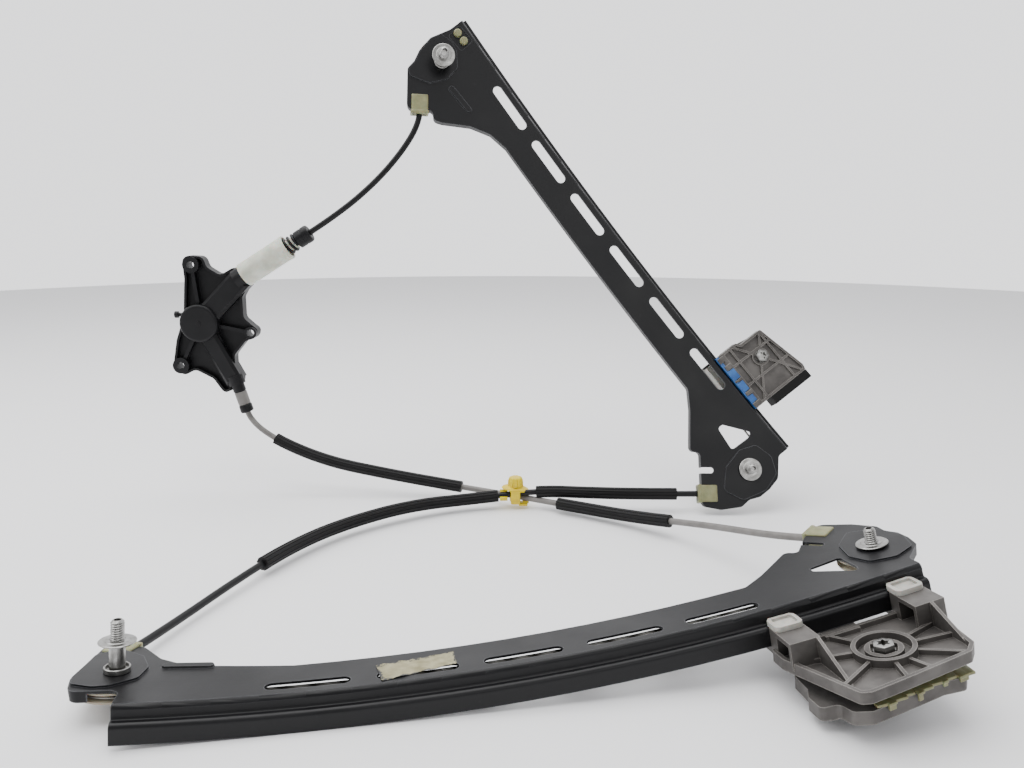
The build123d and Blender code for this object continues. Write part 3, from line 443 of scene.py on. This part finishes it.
def layConduit(name, conduit):
    data = bpy.data.curves.new(name, "CURVE")
    data.dimensions = "3D"
    data.resolution_u = conduitSetup["resolution"]
    spline = data.splines.new("NURBS")
    spline.points.add(len(conduit["points"]) - 1)
    for point, spot in zip(spline.points, conduit["points"]):
        point.co = (*onTable(*spot), 1)
    spline.order_u = 3
    spline.use_endpoint_u = True
    cord = bpy.data.objects.new(name, data)
    bpy.context.scene.collection.objects.link(cord)
    bare = bpy.data.meshes.new_from_object(cord)  # the line itself, for the sleeves
    conduit["line"] = [v.co.copy() for v in bare.vertices]
    bpy.data.meshes.remove(bare)
    data.bevel_depth = conduitSetup["radius"]
    data.bevel_resolution = conduitSetup["roundness"]
    data.use_fill_caps = True
    data.materials.append(finishes[conduit["slot"]])
    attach(cord, "frame")
    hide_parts(conduit["node"])
    return cord


for name, conduit in conduits.items():
    conduit["cord"] = layConduit(name, conduit)
print("conduits laid")


# Ribbed rubber sleeves pulled over the conduits
sleeveSetup = dict(radius=0.005, groove=0.0006, ribs=12, pointsPerRib=4, linePoints=3)
sleeves = {
    "returnSleeveLeft": dict(on="returnCord", node="ribbed_sleeve_1", start=(-211.2, 750.9, 47.9),
                             end=(-40, 724.1, 10.6)),
    "returnSleeveRight": dict(on="returnCord", node="ribbed_sleeve_2", start=(38.8, 691, 7.9),
                              end=(125.8, 630.5, 15)),
    "crossSleeveRight": dict(on="crossCord", node="ribbed_sleeve_3", start=(137.2, 693.8, 15.4),
                             end=(16.5, 702, 14.8)),
    "crossSleeveLeft": dict(on="crossCord", node="ribbed_sleeve_4", start=(-11.2, 701.6, 11.2),
                            end=(-175.5, 561, 8.6)),
}


def nearestOn(line, spot):
    return min(range(len(line)), key=lambda i: (line[i] - spot).length)


def pullSleeve(name, sleeve):
    line = conduits[sleeve["on"]]["line"]
    first, last = (nearestOn(line, onTable(*sleeve[end])) for end in ("start", "end"))
    line = line[first:last + 1:sleeveSetup["linePoints"]]
    mesh = bmesh.new()
    here = standing(line[0], line[1] - line[0])
    perRib = sleeveSetup["pointsPerRib"]
    ring = bmesh.ops.create_circle(mesh, segments=sleeveSetup["ribs"] * perRib, radius=sleeveSetup["radius"],
                                   matrix=here)["verts"]
    squeeze = 1 - sleeveSetup["groove"] / sleeveSetup["radius"]
    bmesh.ops.scale(mesh, vec=(squeeze,) * 3, space=here.inverted(), verts=ring[::perRib])
    edges = list(mesh.edges)
    mesh.faces.new(ring)
    for i in range(1, len(line)):
        way = line[min(i + 1, len(line) - 1)] - line[i - 1]
        turn = (here.to_3x3() @ Vector((0, 0, 1))).rotation_difference(way)
        there = Matrix.Translation(line[i]) @ turn.to_matrix().to_4x4() @ here.to_3x3().to_4x4()
        made = bmesh.ops.extrude_edge_only(mesh, edges=edges)["geom"]
        moved = [v for v in made if isinstance(v, bmesh.types.BMVert)]
        bmesh.ops.transform(mesh, matrix=there @ here.inverted(), verts=moved)
        edges = [e for e in made if isinstance(e, bmesh.types.BMEdge) and e.is_boundary]
        here = there
    bmesh.ops.holes_fill(mesh, edges=edges)
    bmesh.ops.recalc_face_normals(mesh, faces=mesh.faces)
    return addPiece(name, mesh, "frame", "ribbed_rubber", sleeve["node"])


for name, sleeve in sleeves.items():
    sleeve["piece"] = pullSleeve(name, sleeve)
print("sleeves pulled on")

# Shapes below are built in millimetres about their own origin, and settle puts each in its place
mergeWithin = 1e-4


def turned(profile, steps=48):  # a round shape from its half outline
    mesh = bmesh.new()
    spots = [mesh.verts.new((r, 0, z)) for r, z in profile]
    edges = [mesh.edges.new(pair) for pair in zip(spots, spots[1:])]
    bmesh.ops.spin(mesh, geom=spots + edges, cent=(0, 0, 0), axis=(0, 0, 1), angle=2 * math.pi, steps=steps,
                   use_merge=True)
    bmesh.ops.remove_doubles(mesh, verts=mesh.verts, dist=mergeWithin)
    bmesh.ops.recalc_face_normals(mesh, faces=mesh.faces)
    return mesh


def openEdges(mesh):
    return [e for e in mesh.edges if e.is_boundary]


def threaded(core, crest, pitch, low, high, steps=28):  # a screw thread, cut flat at both ends
    mesh = bmesh.new()
    flank = [(core, 0), (crest, 0.42), (crest, 0.58), (core, 1)]  # one turn, with its height in pitches
    spots = [mesh.verts.new((r, 0, low + (z - 1) * pitch)) for r, z in flank]
    edges = [mesh.edges.new(pair) for pair in zip(spots, spots[1:])]
    turns = math.ceil((high - low) / pitch) + 2  # a spare turn for the cut at each end
    bmesh.ops.spin(mesh, geom=spots + edges, cent=(0, 0, 0), axis=(0, 0, 1), dvec=(0, 0, pitch / steps),
                   angle=2 * math.pi * turns, steps=steps * turns)
    bmesh.ops.remove_doubles(mesh, verts=mesh.verts, dist=mergeWithin)
    for level, way in ((low, -1), (high, 1)):
        everything = mesh.verts[:] + mesh.edges[:] + mesh.faces[:]
        bmesh.ops.bisect_plane(mesh, geom=everything, plane_co=(0, 0, level), plane_no=(0, 0, way),
                               clear_outer=True)
    bmesh.ops.holes_fill(mesh, edges=openEdges(mesh))
    bmesh.ops.recalc_face_normals(mesh, faces=mesh.faces)
    return mesh


def join(mesh, other):  # puts the second shape into the first
    data = bpy.data.meshes.new("spare")
    other.to_mesh(data)
    other.free()
    mesh.from_mesh(data)
    bpy.data.meshes.remove(data)
    return mesh


def soften(mesh, edges, width, segments):
    bmesh.ops.bevel(mesh, geom=edges, offset=width, affect="EDGES", segments=segments, profile=0.5,
                    material=-1)


def bevelled(size, spot, edge, lean=0.0):  # a block with rounded edges, leaning so many degrees about z
    mesh = bmesh.new()
    turn = Matrix.Rotation(math.radians(lean), 4, "Z")
    place = Matrix.Translation(spot) @ turn @ Matrix.Diagonal((*size, 1))
    bmesh.ops.create_cube(mesh, size=1, matrix=place)
    soften(mesh, mesh.edges[:], edge, segments=3)
    return mesh


def topFace(mesh):
    return max(mesh.faces, key=lambda f: f.calc_center_median().z)


def sink(mesh, face, depth):  # lowers a face into the shape
    floor = bmesh.ops.extrude_discrete_faces(mesh, faces=[face])["faces"][0]
    bmesh.ops.translate(mesh, vec=(0, 0, -depth), verts=floor.verts)


def settle(mesh, place):  # from millimetres to the piece's own place
    bmesh.ops.scale(mesh, vec=(0.001, 0.001, 0.001), verts=mesh.verts)
    bmesh.ops.transform(mesh, matrix=place, verts=mesh.verts)
    return mesh


# Fixing studs: a cupped foot, a plain barrel, and above the washer a thread with a socket in its end
studSetup = dict(
    thread=3.5, core=3.0, pitch=1.25, barrel=4.0, foot=1.22, ease=0.2, shoulderEdge=0.3, threadRoot=0.6,
    leadIn=1.1, socketRim=0.55, socketDepth=2.6, washerThick=1.6, boreGap=0.02,
    washer=[(8.9, 0), (9.4, 0.3), (9.4, 0.75), (9.0, 1.05), (6.4, 1.25), (6.0, 1.6)],
    ends={
        "upper": dict(at=(15.0, -36.0), top=28.8, washerLevel=16.8,
                      cup=[(6.3, 1.22), (6.6, 1.6), (6.6, 3.8), (6.2, 4.2), (5.7, 3.9), (5.3, 2.3),
                           (4.4, 2.1)]),
        "lower": dict(at=(446.0, -37.5), top=12.4, washerLevel=2.2,
                      cup=[(5.4, 1.22), (5.8, 1.5), (5.8, 1.9)]),
    },
)


def makeStud(setup, end):
    shoulder = end["washerLevel"] + setup["washerThick"]
    barrel, ease = setup["barrel"], setup["ease"]
    foot = [(0, setup["foot"])] + end["cup"]
    mesh = turned(foot + [(barrel, end["cup"][-1][1] + ease), (barrel, shoulder - ease),
                          (barrel - setup["shoulderEdge"], shoulder), (0, shoulder)])
    root = shoulder - setup["threadRoot"]
    screw = threaded(setup["core"], setup["thread"], setup["pitch"], root, end["top"])
    for v in screw.verts:  # the lead-in chamfer at the end of the thread
        over = v.co.z - (end["top"] - setup["leadIn"])
        reach = math.hypot(v.co.x, v.co.y)
        if over > 0 and reach > setup["thread"] - over:
            v.co.xy *= (setup["thread"] - over) / reach
    tip = topFace(screw)
    bmesh.ops.inset_region(screw, faces=[tip], thickness=setup["socketRim"])
    sink(screw, tip, setup["socketDepth"])
    return join(mesh, screw)


def makeWasher(setup, end):
    bore = setup["barrel"] + setup["boreGap"]
    outline = [(bore, 0)] + setup["washer"] + [(bore, setup["washerThick"]), (bore, 0)]
    return turned([(r, end["washerLevel"] + z) for r, z in outline])


for side, rail in (("front", frontRail), ("rear", rearRail)):
    for endName, end in studSetup["ends"].items():
        t, u = end["at"]
        place = standing(onRail(rail, t, u, 0), offRail(rail, t))
        title = side + endName.capitalize()
        addPiece(title + "Stud", settle(makeStud(studSetup, end), place), "frame", "zinc_plate",
                 f"{side}_{endName}_stud")
        addPiece(title + "Washer", settle(makeWasher(studSetup, end), place), "frame", "zinc_plate",
                 f"{side}_{endName}_washer")
print("studs and washers turned")

# Olive ferrules: a block set into the web, with a thicker end where the conduit meets it
ferruleSetup = dict(
    block=(16.0, 14.0, 10.3), edge=1.0, collar=(3.0, 15.4, 10.9), collarAt=6.5, collarEdge=0.8, level=-4.0,
    places={
        "front_upper": dict(rail=frontRail, at=(9.25, -68.8), way=(0.387, -0.922)),
        "front_lower": dict(rail=frontRail, at=(436.0, -82.7), way=(-0.606, -0.795)),
        "rear_upper": dict(rail=rearRail, at=(32.95, -72.05), way=(0.8, -0.6)),
        "rear_lower": dict(rail=rearRail, at=(439.65, -78.0), way=(-0.606, -0.795)),
    },
)


def makeFerrule(setup):
    mesh = bevelled(setup["block"], (0, 0, setup["level"]), setup["edge"])
    collarSpot = (setup["collarAt"], 0, setup["level"])
    return join(mesh, bevelled(setup["collar"], collarSpot, setup["collarEdge"]))


for name, spot in ferruleSetup["places"].items():
    side, end = name.split("_")
    place = seatOn(spot["rail"], *spot["at"], spot["way"])
    addPiece(side + end.capitalize() + "Ferrule", settle(makeFerrule(ferruleSetup), place), "frame",
             "olive_nylon", name + "_ferrule")
print("ferrules set in")

# Clamp bolts: a flange, a hexagon with a star socket, and a threaded shank
boltSetup = dict(
    across=10.0, height=5.2, crownEdge=0.5, flange=5.9, flangeHeight=1.4, flangeEdge=0.3, overlap=0.1,
    shank=3.0, core=2.6, pitch=1.0, threadSteps=20, socketRim=1.5, starWaist=0.72, socketDepth=2.4,
    bolts={
        "front": dict(rail=frontRail, at=(401.0, 37.0), seat=-20.5, foot=-50.6),
        "rear": dict(rail=rearRail, at=(378.0, 33.5), seat=-0.8, foot=-30.0),
    },
)


def makeBolt(setup, bolt):
    seat, edge = bolt["seat"], setup["flangeEdge"]
    low, top = seat + setup["flangeHeight"] - setup["overlap"], seat + setup["height"]
    flats = math.cos(math.radians(30))  # how far the middle of a flat lies inside the corners
    wide = setup["across"] / 2 / flats
    mesh = bmesh.new()
    ring = bmesh.ops.create_circle(mesh, cap_ends=True, segments=12, radius=wide,
                                   matrix=Matrix.Translation((0, 0, low)))["verts"]
    bmesh.ops.scale(mesh, vec=(flats, flats, 1), verts=ring[::2])
    raised = bmesh.ops.extrude_face_region(mesh, geom=mesh.faces[:])["geom"]
    crown = next(g for g in raised if isinstance(g, bmesh.types.BMFace))
    bmesh.ops.translate(mesh, vec=(0, 0, top - low), verts=crown.verts)
    soften(mesh, crown.edges[:], setup["crownEdge"], segments=2)
    bmesh.ops.recalc_face_normals(mesh, faces=mesh.faces)
    crown = topFace(mesh)
    bmesh.ops.inset_region(mesh, faces=[crown], thickness=setup["socketRim"])
    bmesh.ops.scale(mesh, vec=(setup["starWaist"], setup["starWaist"], 1), verts=crown.verts[:][::2])
    sink(mesh, crown, setup["socketDepth"])
    rim, ledge = setup["flange"], seat + setup["flangeHeight"]
    join(mesh, turned([(0, seat), (rim - edge, seat), (rim, seat + edge), (rim, seat + 2 * edge),
                       (wide - edge, ledge), (0, ledge)]))
    return join(mesh, threaded(setup["core"], setup["shank"], setup["pitch"], bolt["foot"], seat + edge,
                               setup["threadSteps"]))


for side, bolt in boltSetup["bolts"].items():
    place = standing(onRail(bolt["rail"], *bolt["at"], 0), offRail(bolt["rail"], bolt["at"][0]))
    addPiece(side + "ClampBolt", settle(makeBolt(boltSetup, bolt), place), side + "_carriage", "zinc_plate",
             side + "_clamp_bolt")
print("clamp bolts made")

# Cable tensioner: an open milky sleeve, a black spring on a pale core, and a round cap
tensionSetup = dict(
    start=(-231.1, 754.0, 192.7), way=(0.849, 0, 0.529), sleeveSteps=64,
    sleeve=[(8.95, 0), (10.1, 0), (10.5, 0.5), (10.5, 42.2), (10.8, 42.6), (10.8, 45.4), (10.3, 46),
            (9.3, 46), (8.9, 45.5), (8.9, 40), (5.6, 39.6), (5.6, 38), (8.9, 37.6), (8.9, 0.4), (8.95, 0)],
    core=[(2.6, 39.7), (5.3, 39.7), (5.3, 55.7), (2.6, 55.7), (2.6, 39.7)],
    cap=[(2.55, 56), (6.9, 56), (7.4, 56.5), (7.5, 61.8), (7.2, 62.1), (7.2, 63), (7.6, 63.3), (7.6, 67.2),
         (7.0, 68.6), (6.2, 69), (3.6, 69), (2.55, 68.4), (2.55, 56)],
    spring=dict(coil=6.4, wire=1.25, pitch=4.1, low=40.5, turns=3.6, steps=36),
)


def makeSpring(spring):
    mesh = bmesh.new()
    upright = Matrix.Rotation(math.radians(90), 4, "X")
    bmesh.ops.create_circle(mesh, segments=12, radius=spring["wire"],
                            matrix=Matrix.Translation((spring["coil"], 0, spring["low"])) @ upright)
    bmesh.ops.spin(mesh, geom=mesh.verts[:] + mesh.edges[:], cent=(0, 0, 0), axis=(0, 0, 1),
                   dvec=(0, 0, spring["pitch"] / spring["steps"]), angle=2 * math.pi * spring["turns"],
                   steps=round(spring["steps"] * spring["turns"]))
    bmesh.ops.holes_fill(mesh, edges=openEdges(mesh))
    bmesh.ops.recalc_face_normals(mesh, faces=mesh.faces)
    return mesh


place = standing(onTable(*tensionSetup["start"]), Vector(tensionSetup["way"]))
sleeveShape = turned(tensionSetup["sleeve"], tensionSetup["sleeveSteps"])
addPiece("tensionSleeve", settle(sleeveShape, place), "frame", "clear_nylon", "tension_sleeve")
addPiece("springCore", settle(turned(tensionSetup["core"]), place), "frame", "clear_nylon",
         "tension_bellows")
addPiece("tensionSpring", settle(makeSpring(tensionSetup["spring"]), place), "frame", "black_plastic")
addPiece("tensionCap", settle(turned(tensionSetup["cap"]), place), "frame", "black_plastic", "tension_cap")

# Outlet at the foot of the housing: two black collars with a grey band between them
outletSetup = dict(
    start=(-243.1, 754.0, 96.7), way=(0.285, 0, -0.958),
    collars=[(1.7, 0), (5.5, 0), (5.5, 6.2), (4.9, 6.8), (4.9, 19), (5.4, 19.4), (5.7, 20), (5.7, 25.2),
             (5.0, 26), (2.55, 26), (2.55, 21), (1.7, 21), (1.7, 0)],
    band=[(4.85, 7.0), (5.15, 7.1), (5.3, 7.4), (5.3, 18.4), (5.15, 18.7), (4.85, 18.8), (4.85, 7.0)],
)
place = standing(onTable(*outletSetup["start"]), Vector(outletSetup["way"]))
addPiece("outletCollars", settle(turned(outletSetup["collars"]), place), "frame", "black_plastic",
         "outlet_ferrule")
addPiece("outletBand", settle(turned(outletSetup["band"]), place), "frame", "grey_conduit")
print("tensioner and outlet turned")

# Yellow clip where the conduits cross: a fluted head on a leaning collar, a front tab and two open hooks
clipSetup = dict(
    at=(3.0, 706.0, 0.0), collarLean=7.0, collarLevel=17.0, collarSquash=0.72, collarSteps=36,
    stem=dict(size=(8.6, 12.0, 12.0), spot=(-0.5, 0.0, 12.0), edge=1.2),
    tab=dict(size=(8.0, 2.4, 13.0), spot=(0.0, -7.6, 11.0), edge=0.9),
    foot=dict(size=(7.5, 9.0, 2.0), spot=(6.5, -2.5, 3.6), edge=0.7),
    collar=[(0, 17.4), (6, 17.2), (10.6, 15.9), (11.4, 15.4), (11.8, 15.8), (11.0, 17.0), (6.4, 19.0),
            (0, 19.4)],
    head=dict(radius=6.6, flutes=9, pointsPerFlute=4, waist=0.86, low=18.6, top=26.6,
              steps=[(0.6, 0.97), (0.3, 0.86), (0.1, 0.72)]),  # share of the height, share of the width
    hooks=[dict(at=(-10.0, -4.2, 11.6), inner=2.7, outer=4.9, wide=6.5, start=100, sweep=235, steps=18),
           dict(at=(8.6, -1.3, 8.2), inner=2.7, outer=4.6, wide=5.5, start=150, sweep=235, steps=18)],
)


def fluted(head):
    mesh = bmesh.new()
    perFlute = head["pointsPerFlute"]
    ring = bmesh.ops.create_circle(mesh, cap_ends=True, segments=head["flutes"] * perFlute,
                                   radius=head["radius"],
                                   matrix=Matrix.Translation((0, 0, head["low"])))["verts"]
    bmesh.ops.scale(mesh, vec=(head["waist"], head["waist"], 1), verts=ring[::perFlute])
    cap = mesh.faces[:]
    for rise, shrink in head["steps"]:
        made = bmesh.ops.extrude_face_region(mesh, geom=cap)["geom"]
        cap = [g for g in made if isinstance(g, bmesh.types.BMFace)]
        top = list(cap[0].verts)
        bmesh.ops.translate(mesh, vec=(0, 0, rise * (head["top"] - head["low"])), verts=top)
        bmesh.ops.scale(mesh, vec=(shrink, shrink, 1), verts=top)
    bmesh.ops.recalc_face_normals(mesh, faces=mesh.faces)
    return mesh


def openHook(hook):  # most of a ring round a conduit that runs along x
    mesh = bmesh.new()
    half = hook["wide"] / 2
    corners = [(half, hook["inner"]), (half, hook["outer"]), (-half, hook["outer"]), (-half, hook["inner"])]
    spots = [mesh.verts.new((x, 0, r)) for x, r in corners]
    face = mesh.faces.new(spots)
    turn = Matrix.Rotation(math.radians(hook["start"]), 4, "X")
    bmesh.ops.transform(mesh, matrix=turn, verts=spots)
    bmesh.ops.spin(mesh, geom=[face], cent=(0, 0, 0), axis=(1, 0, 0), angle=math.radians(hook["sweep"]),
                   steps=hook["steps"])
    bmesh.ops.translate(mesh, vec=hook["at"], verts=mesh.verts)
    bmesh.ops.recalc_face_normals(mesh, faces=mesh.faces)
    return mesh


def makeClip(setup):
    mesh = bevelled(**setup["stem"])
    collar = turned(setup["collar"], setup["collarSteps"])
    bmesh.ops.scale(collar, vec=(1, setup["collarSquash"], 1), verts=collar.verts)
    lean = Matrix.Rotation(math.radians(setup["collarLean"]), 4, "Y")
    bmesh.ops.rotate(collar, cent=(0, 0, setup["collarLevel"]), matrix=lean.to_3x3(), verts=collar.verts)
    for shape in (collar, fluted(setup["head"]), bevelled(**setup["tab"]), bevelled(**setup["foot"]),
                  *(openHook(hook) for hook in setup["hooks"])):
        join(mesh, shape)
    return mesh


place = Matrix.Translation(onTable(*clipSetup["at"]))
addPiece("crossingClip", settle(makeClip(clipSetup), place), "frame", "yellow_plastic", "cable_clip")
print("clip made")

# Front carriage inserts: a pale frame with a sunk middle and small lugs along the edge towards the web
insertSetup = dict(
    size=(16.4, 13.4, 3.0), corner=3.4, edge=0.5, rim=1.7, sunk=1.6, at=(6.85, -5.7), starts=(364.0, 435.5),
    lugDeep=2.4, lugHigh=2.2, lugInset=0.3, lugLevel=0.2, lugEdge=0.5,
    lugs=[(-5.2, 2.6), (0.6, 3.4), (5.4, 2.4)],  # place along the edge, width
)


def makeInsert(setup):
    mesh = bmesh.new()
    bmesh.ops.create_cube(mesh, size=1, matrix=Matrix.Diagonal((*setup["size"], 1)))
    upright = [e for e in mesh.edges if abs(e.verts[0].co.z - e.verts[1].co.z) > 1]
    soften(mesh, upright, setup["corner"], segments=5)
    soften(mesh, topFace(mesh).edges[:], setup["edge"], segments=2)
    crown = topFace(mesh)
    bmesh.ops.inset_region(mesh, faces=[crown], thickness=setup["rim"])
    sink(mesh, crown, setup["sunk"])
    side = setup["size"][1] / 2 - setup["lugInset"]
    for x, wide in setup["lugs"]:
        lug = (wide, setup["lugDeep"], setup["lugHigh"])
        join(mesh, bevelled(lug, (x, side, setup["lugLevel"]), setup["lugEdge"]))
    return mesh


for i, t in enumerate(insertSetup["starts"], 1):
    u, level = insertSetup["at"]
    place = seatOn(frontRail, t, u) @ Matrix.Translation((0, 0, level / 1000))
    addPiece(f"frontInsert{i}", settle(makeInsert(insertSetup), place), "front_carriage", "white_nylon",
             f"front_insert_{i}")
print("inserts made")

# Torn liner of the front jaw: scraps of pale plastic along the jaw's outer edge
linerSetup = dict(
    top=-29.3, thick=1.5, inward=7.0, edgeRound=0.4, leanBase=-12.0, leanPerProud=9.0,
    dropThick=1.3, dropNarrower=0.6, dropInset=0.9, dropRound=0.35,
    edge=[(378.0, 64.5), (420.0, 60.0), (431.0, 62.0), (436.0, 55.0)],
    scraps=[  # place along the rail, width, reach past the edge, drop below it
        (381.0, 6.0, 0.6, 0.0), (385.0, 4.6, 2.2, 2.6), (390.6, 7.4, 1.2, 0.0), (396.6, 5.2, 0.4, 0.0),
        (400.4, 3.4, 2.8, 3.2), (405.2, 6.8, 1.5, 0.0), (411.6, 6.4, 0.7, 0.0), (415.4, 3.2, 2.0, 1.8),
        (419.8, 6.6, 1.0, 0.0), (425.4, 5.6, 1.8, 2.2), (429.6, 4.4, 0.8, 0.0)],
)


def makeLiner(setup):
    mesh = bmesh.new()
    thick, inward = setup["thick"], setup["inward"]
    middle = setup["top"] - thick / 2
    for t, wide, proud, drop in setup["scraps"]:
        before, after = next(pair for pair in zip(setup["edge"], setup["edge"][1:]) if t <= pair[1][0])
        u = before[1] + (after[1] - before[1]) * (t - before[0]) / (after[0] - before[0])
        reach = inward + proud
        lean = proud * setup["leanPerProud"] + setup["leanBase"]
        flap = bevelled((wide, reach, thick), (0, inward - reach / 2, middle), setup["edgeRound"], lean)
        if drop:
            hanging = (wide - setup["dropNarrower"], setup["dropThick"], drop + 1)
            spot = (0, setup["dropInset"] - proud, middle - drop / 2)
            join(flap, bevelled(hanging, spot, setup["dropRound"], lean))
        join(mesh, settle(flap, seatOn(frontRail, t, u)))  # its y runs against u on this rail
    return mesh


addPiece("jawLiner", makeLiner(linerSetup), "front_carriage", "olive_nylon")
print("jaw liner made")

# Bare paper label, stuck on askew over one slot of the front rail
labelSetup = dict(
    corners=((147.0, -22.8), (149.5, -3.5), (189.0, -12.5), (189.0, -27.8)), lift=0.16, thick=0.12,
    columns=36, rows=14, cornerRound=2.6, rimWidth=5.0, curlWidth=2.5, curl=0.25, ripple=(0.9, 1.7),
)


def makeLabel(setup):
    mesh = bmesh.new()
    rim = mesh.verts.layers.float.new("rim")
    bmesh.ops.create_grid(mesh, x_segments=setup["columns"], y_segments=setup["rows"], size=0.5)
    a, b, c, d = (Vector(corner) for corner in setup["corners"])
    long, wide = (d - a).length, (b - a).length
    alongRipple, acrossRipple = setup["ripple"]
    for v in mesh.verts:
        x, y = v.co.x + 0.5, v.co.y + 0.5
        edge = min(x * long, (1 - x) * long, y * wide, (1 - y) * wide)
        v[rim] = max(0.0, 1 - edge / setup["rimWidth"])
        t, u = a.lerp(d, x).lerp(b.lerp(c, x), y)
        wave = 1 + math.sin(t * alongRipple + u * acrossRipple)
        curl = setup["curl"] * max(0.0, 1 - edge / setup["curlWidth"]) * wave
        v.co = onRail(frontRail, t, u, setup["lift"] + curl)
    corners = [v for v in mesh.verts if len(v.link_edges) == 2]
    bmesh.ops.bevel(mesh, geom=corners, offset=setup["cornerRound"] / 1000, affect="VERTICES", segments=4,
                    profile=0.5, material=-1)
    bmesh.ops.recalc_face_normals(mesh, faces=mesh.faces)
    bmesh.ops.solidify(mesh, geom=mesh.faces[:], thickness=setup["thick"] / 1000)
    return mesh


addPiece("bareLabel", makeLabel(labelSetup), "frame", "paper_label")
print("label stuck on")

# Rear carriage: grey fingers and blue blocks in turn along the slider that runs on the guide's edge
teethSetup = dict(
    edge=0.45, fingerLevels=(-1.6, 1.9), blockLevels=(-1.6, 1.5),
    fingers=[  # from and to along the rail, from and to across it
        (357.5, 362.5, 0.5, 6.5), (366.0, 370.5, 1.5, 8.0), (381.3, 383.2, 0.7, 8.0),
        (394.0, 397.3, 1.2, 8.5), (405.0, 409.7, 0.5, 7.5)],
    blocks=[(371.2, 380.8, 0.4, 7.5), (384.0, 393.4, 0.4, 7.0), (398.0, 404.4, 0.4, 6.2)],
)


def makeTeeth(setup, kind):
    mesh = bmesh.new()
    low, high = setup[kind + "Levels"]
    for t0, t1, u0, u1 in setup[kind + "s"]:
        size = (t1 - t0, u1 - u0, high - low)
        tooth = bevelled(size, (0, (u0 + u1) / 2, (low + high) / 2), setup["edge"])
        join(mesh, settle(tooth, seatOn(rearRail, (t0 + t1) / 2, 0)))
    return mesh


addPiece("sliderFingers", makeTeeth(teethSetup, "finger"), "rear_carriage", "die_cast")
addPiece("sliderBlocks", makeTeeth(teethSetup, "block"), "rear_carriage", "blue_nylon")
print("slider teeth made")

floorSetup = dict(radius=2.4, segments=128, pale="#f1f1f2", rough=0.75)


def addFloor(setup):
    mesh = bmesh.new()
    bmesh.ops.create_circle(mesh, cap_ends=True, segments=setup["segments"], radius=setup["radius"])
    data = bpy.data.meshes.new("paleFloor")
    mesh.to_mesh(data)
    mesh.free()
    paper = newFinish("mattPaper", Base_Color=linear(setup["pale"]), Roughness=setup["rough"])[0]
    data.materials.append(paper)
    floor = bpy.data.objects.new("paleFloor", data)
    bpy.context.scene.collection.objects.link(floor)


addFloor(floorSetup)
print("floor laid")
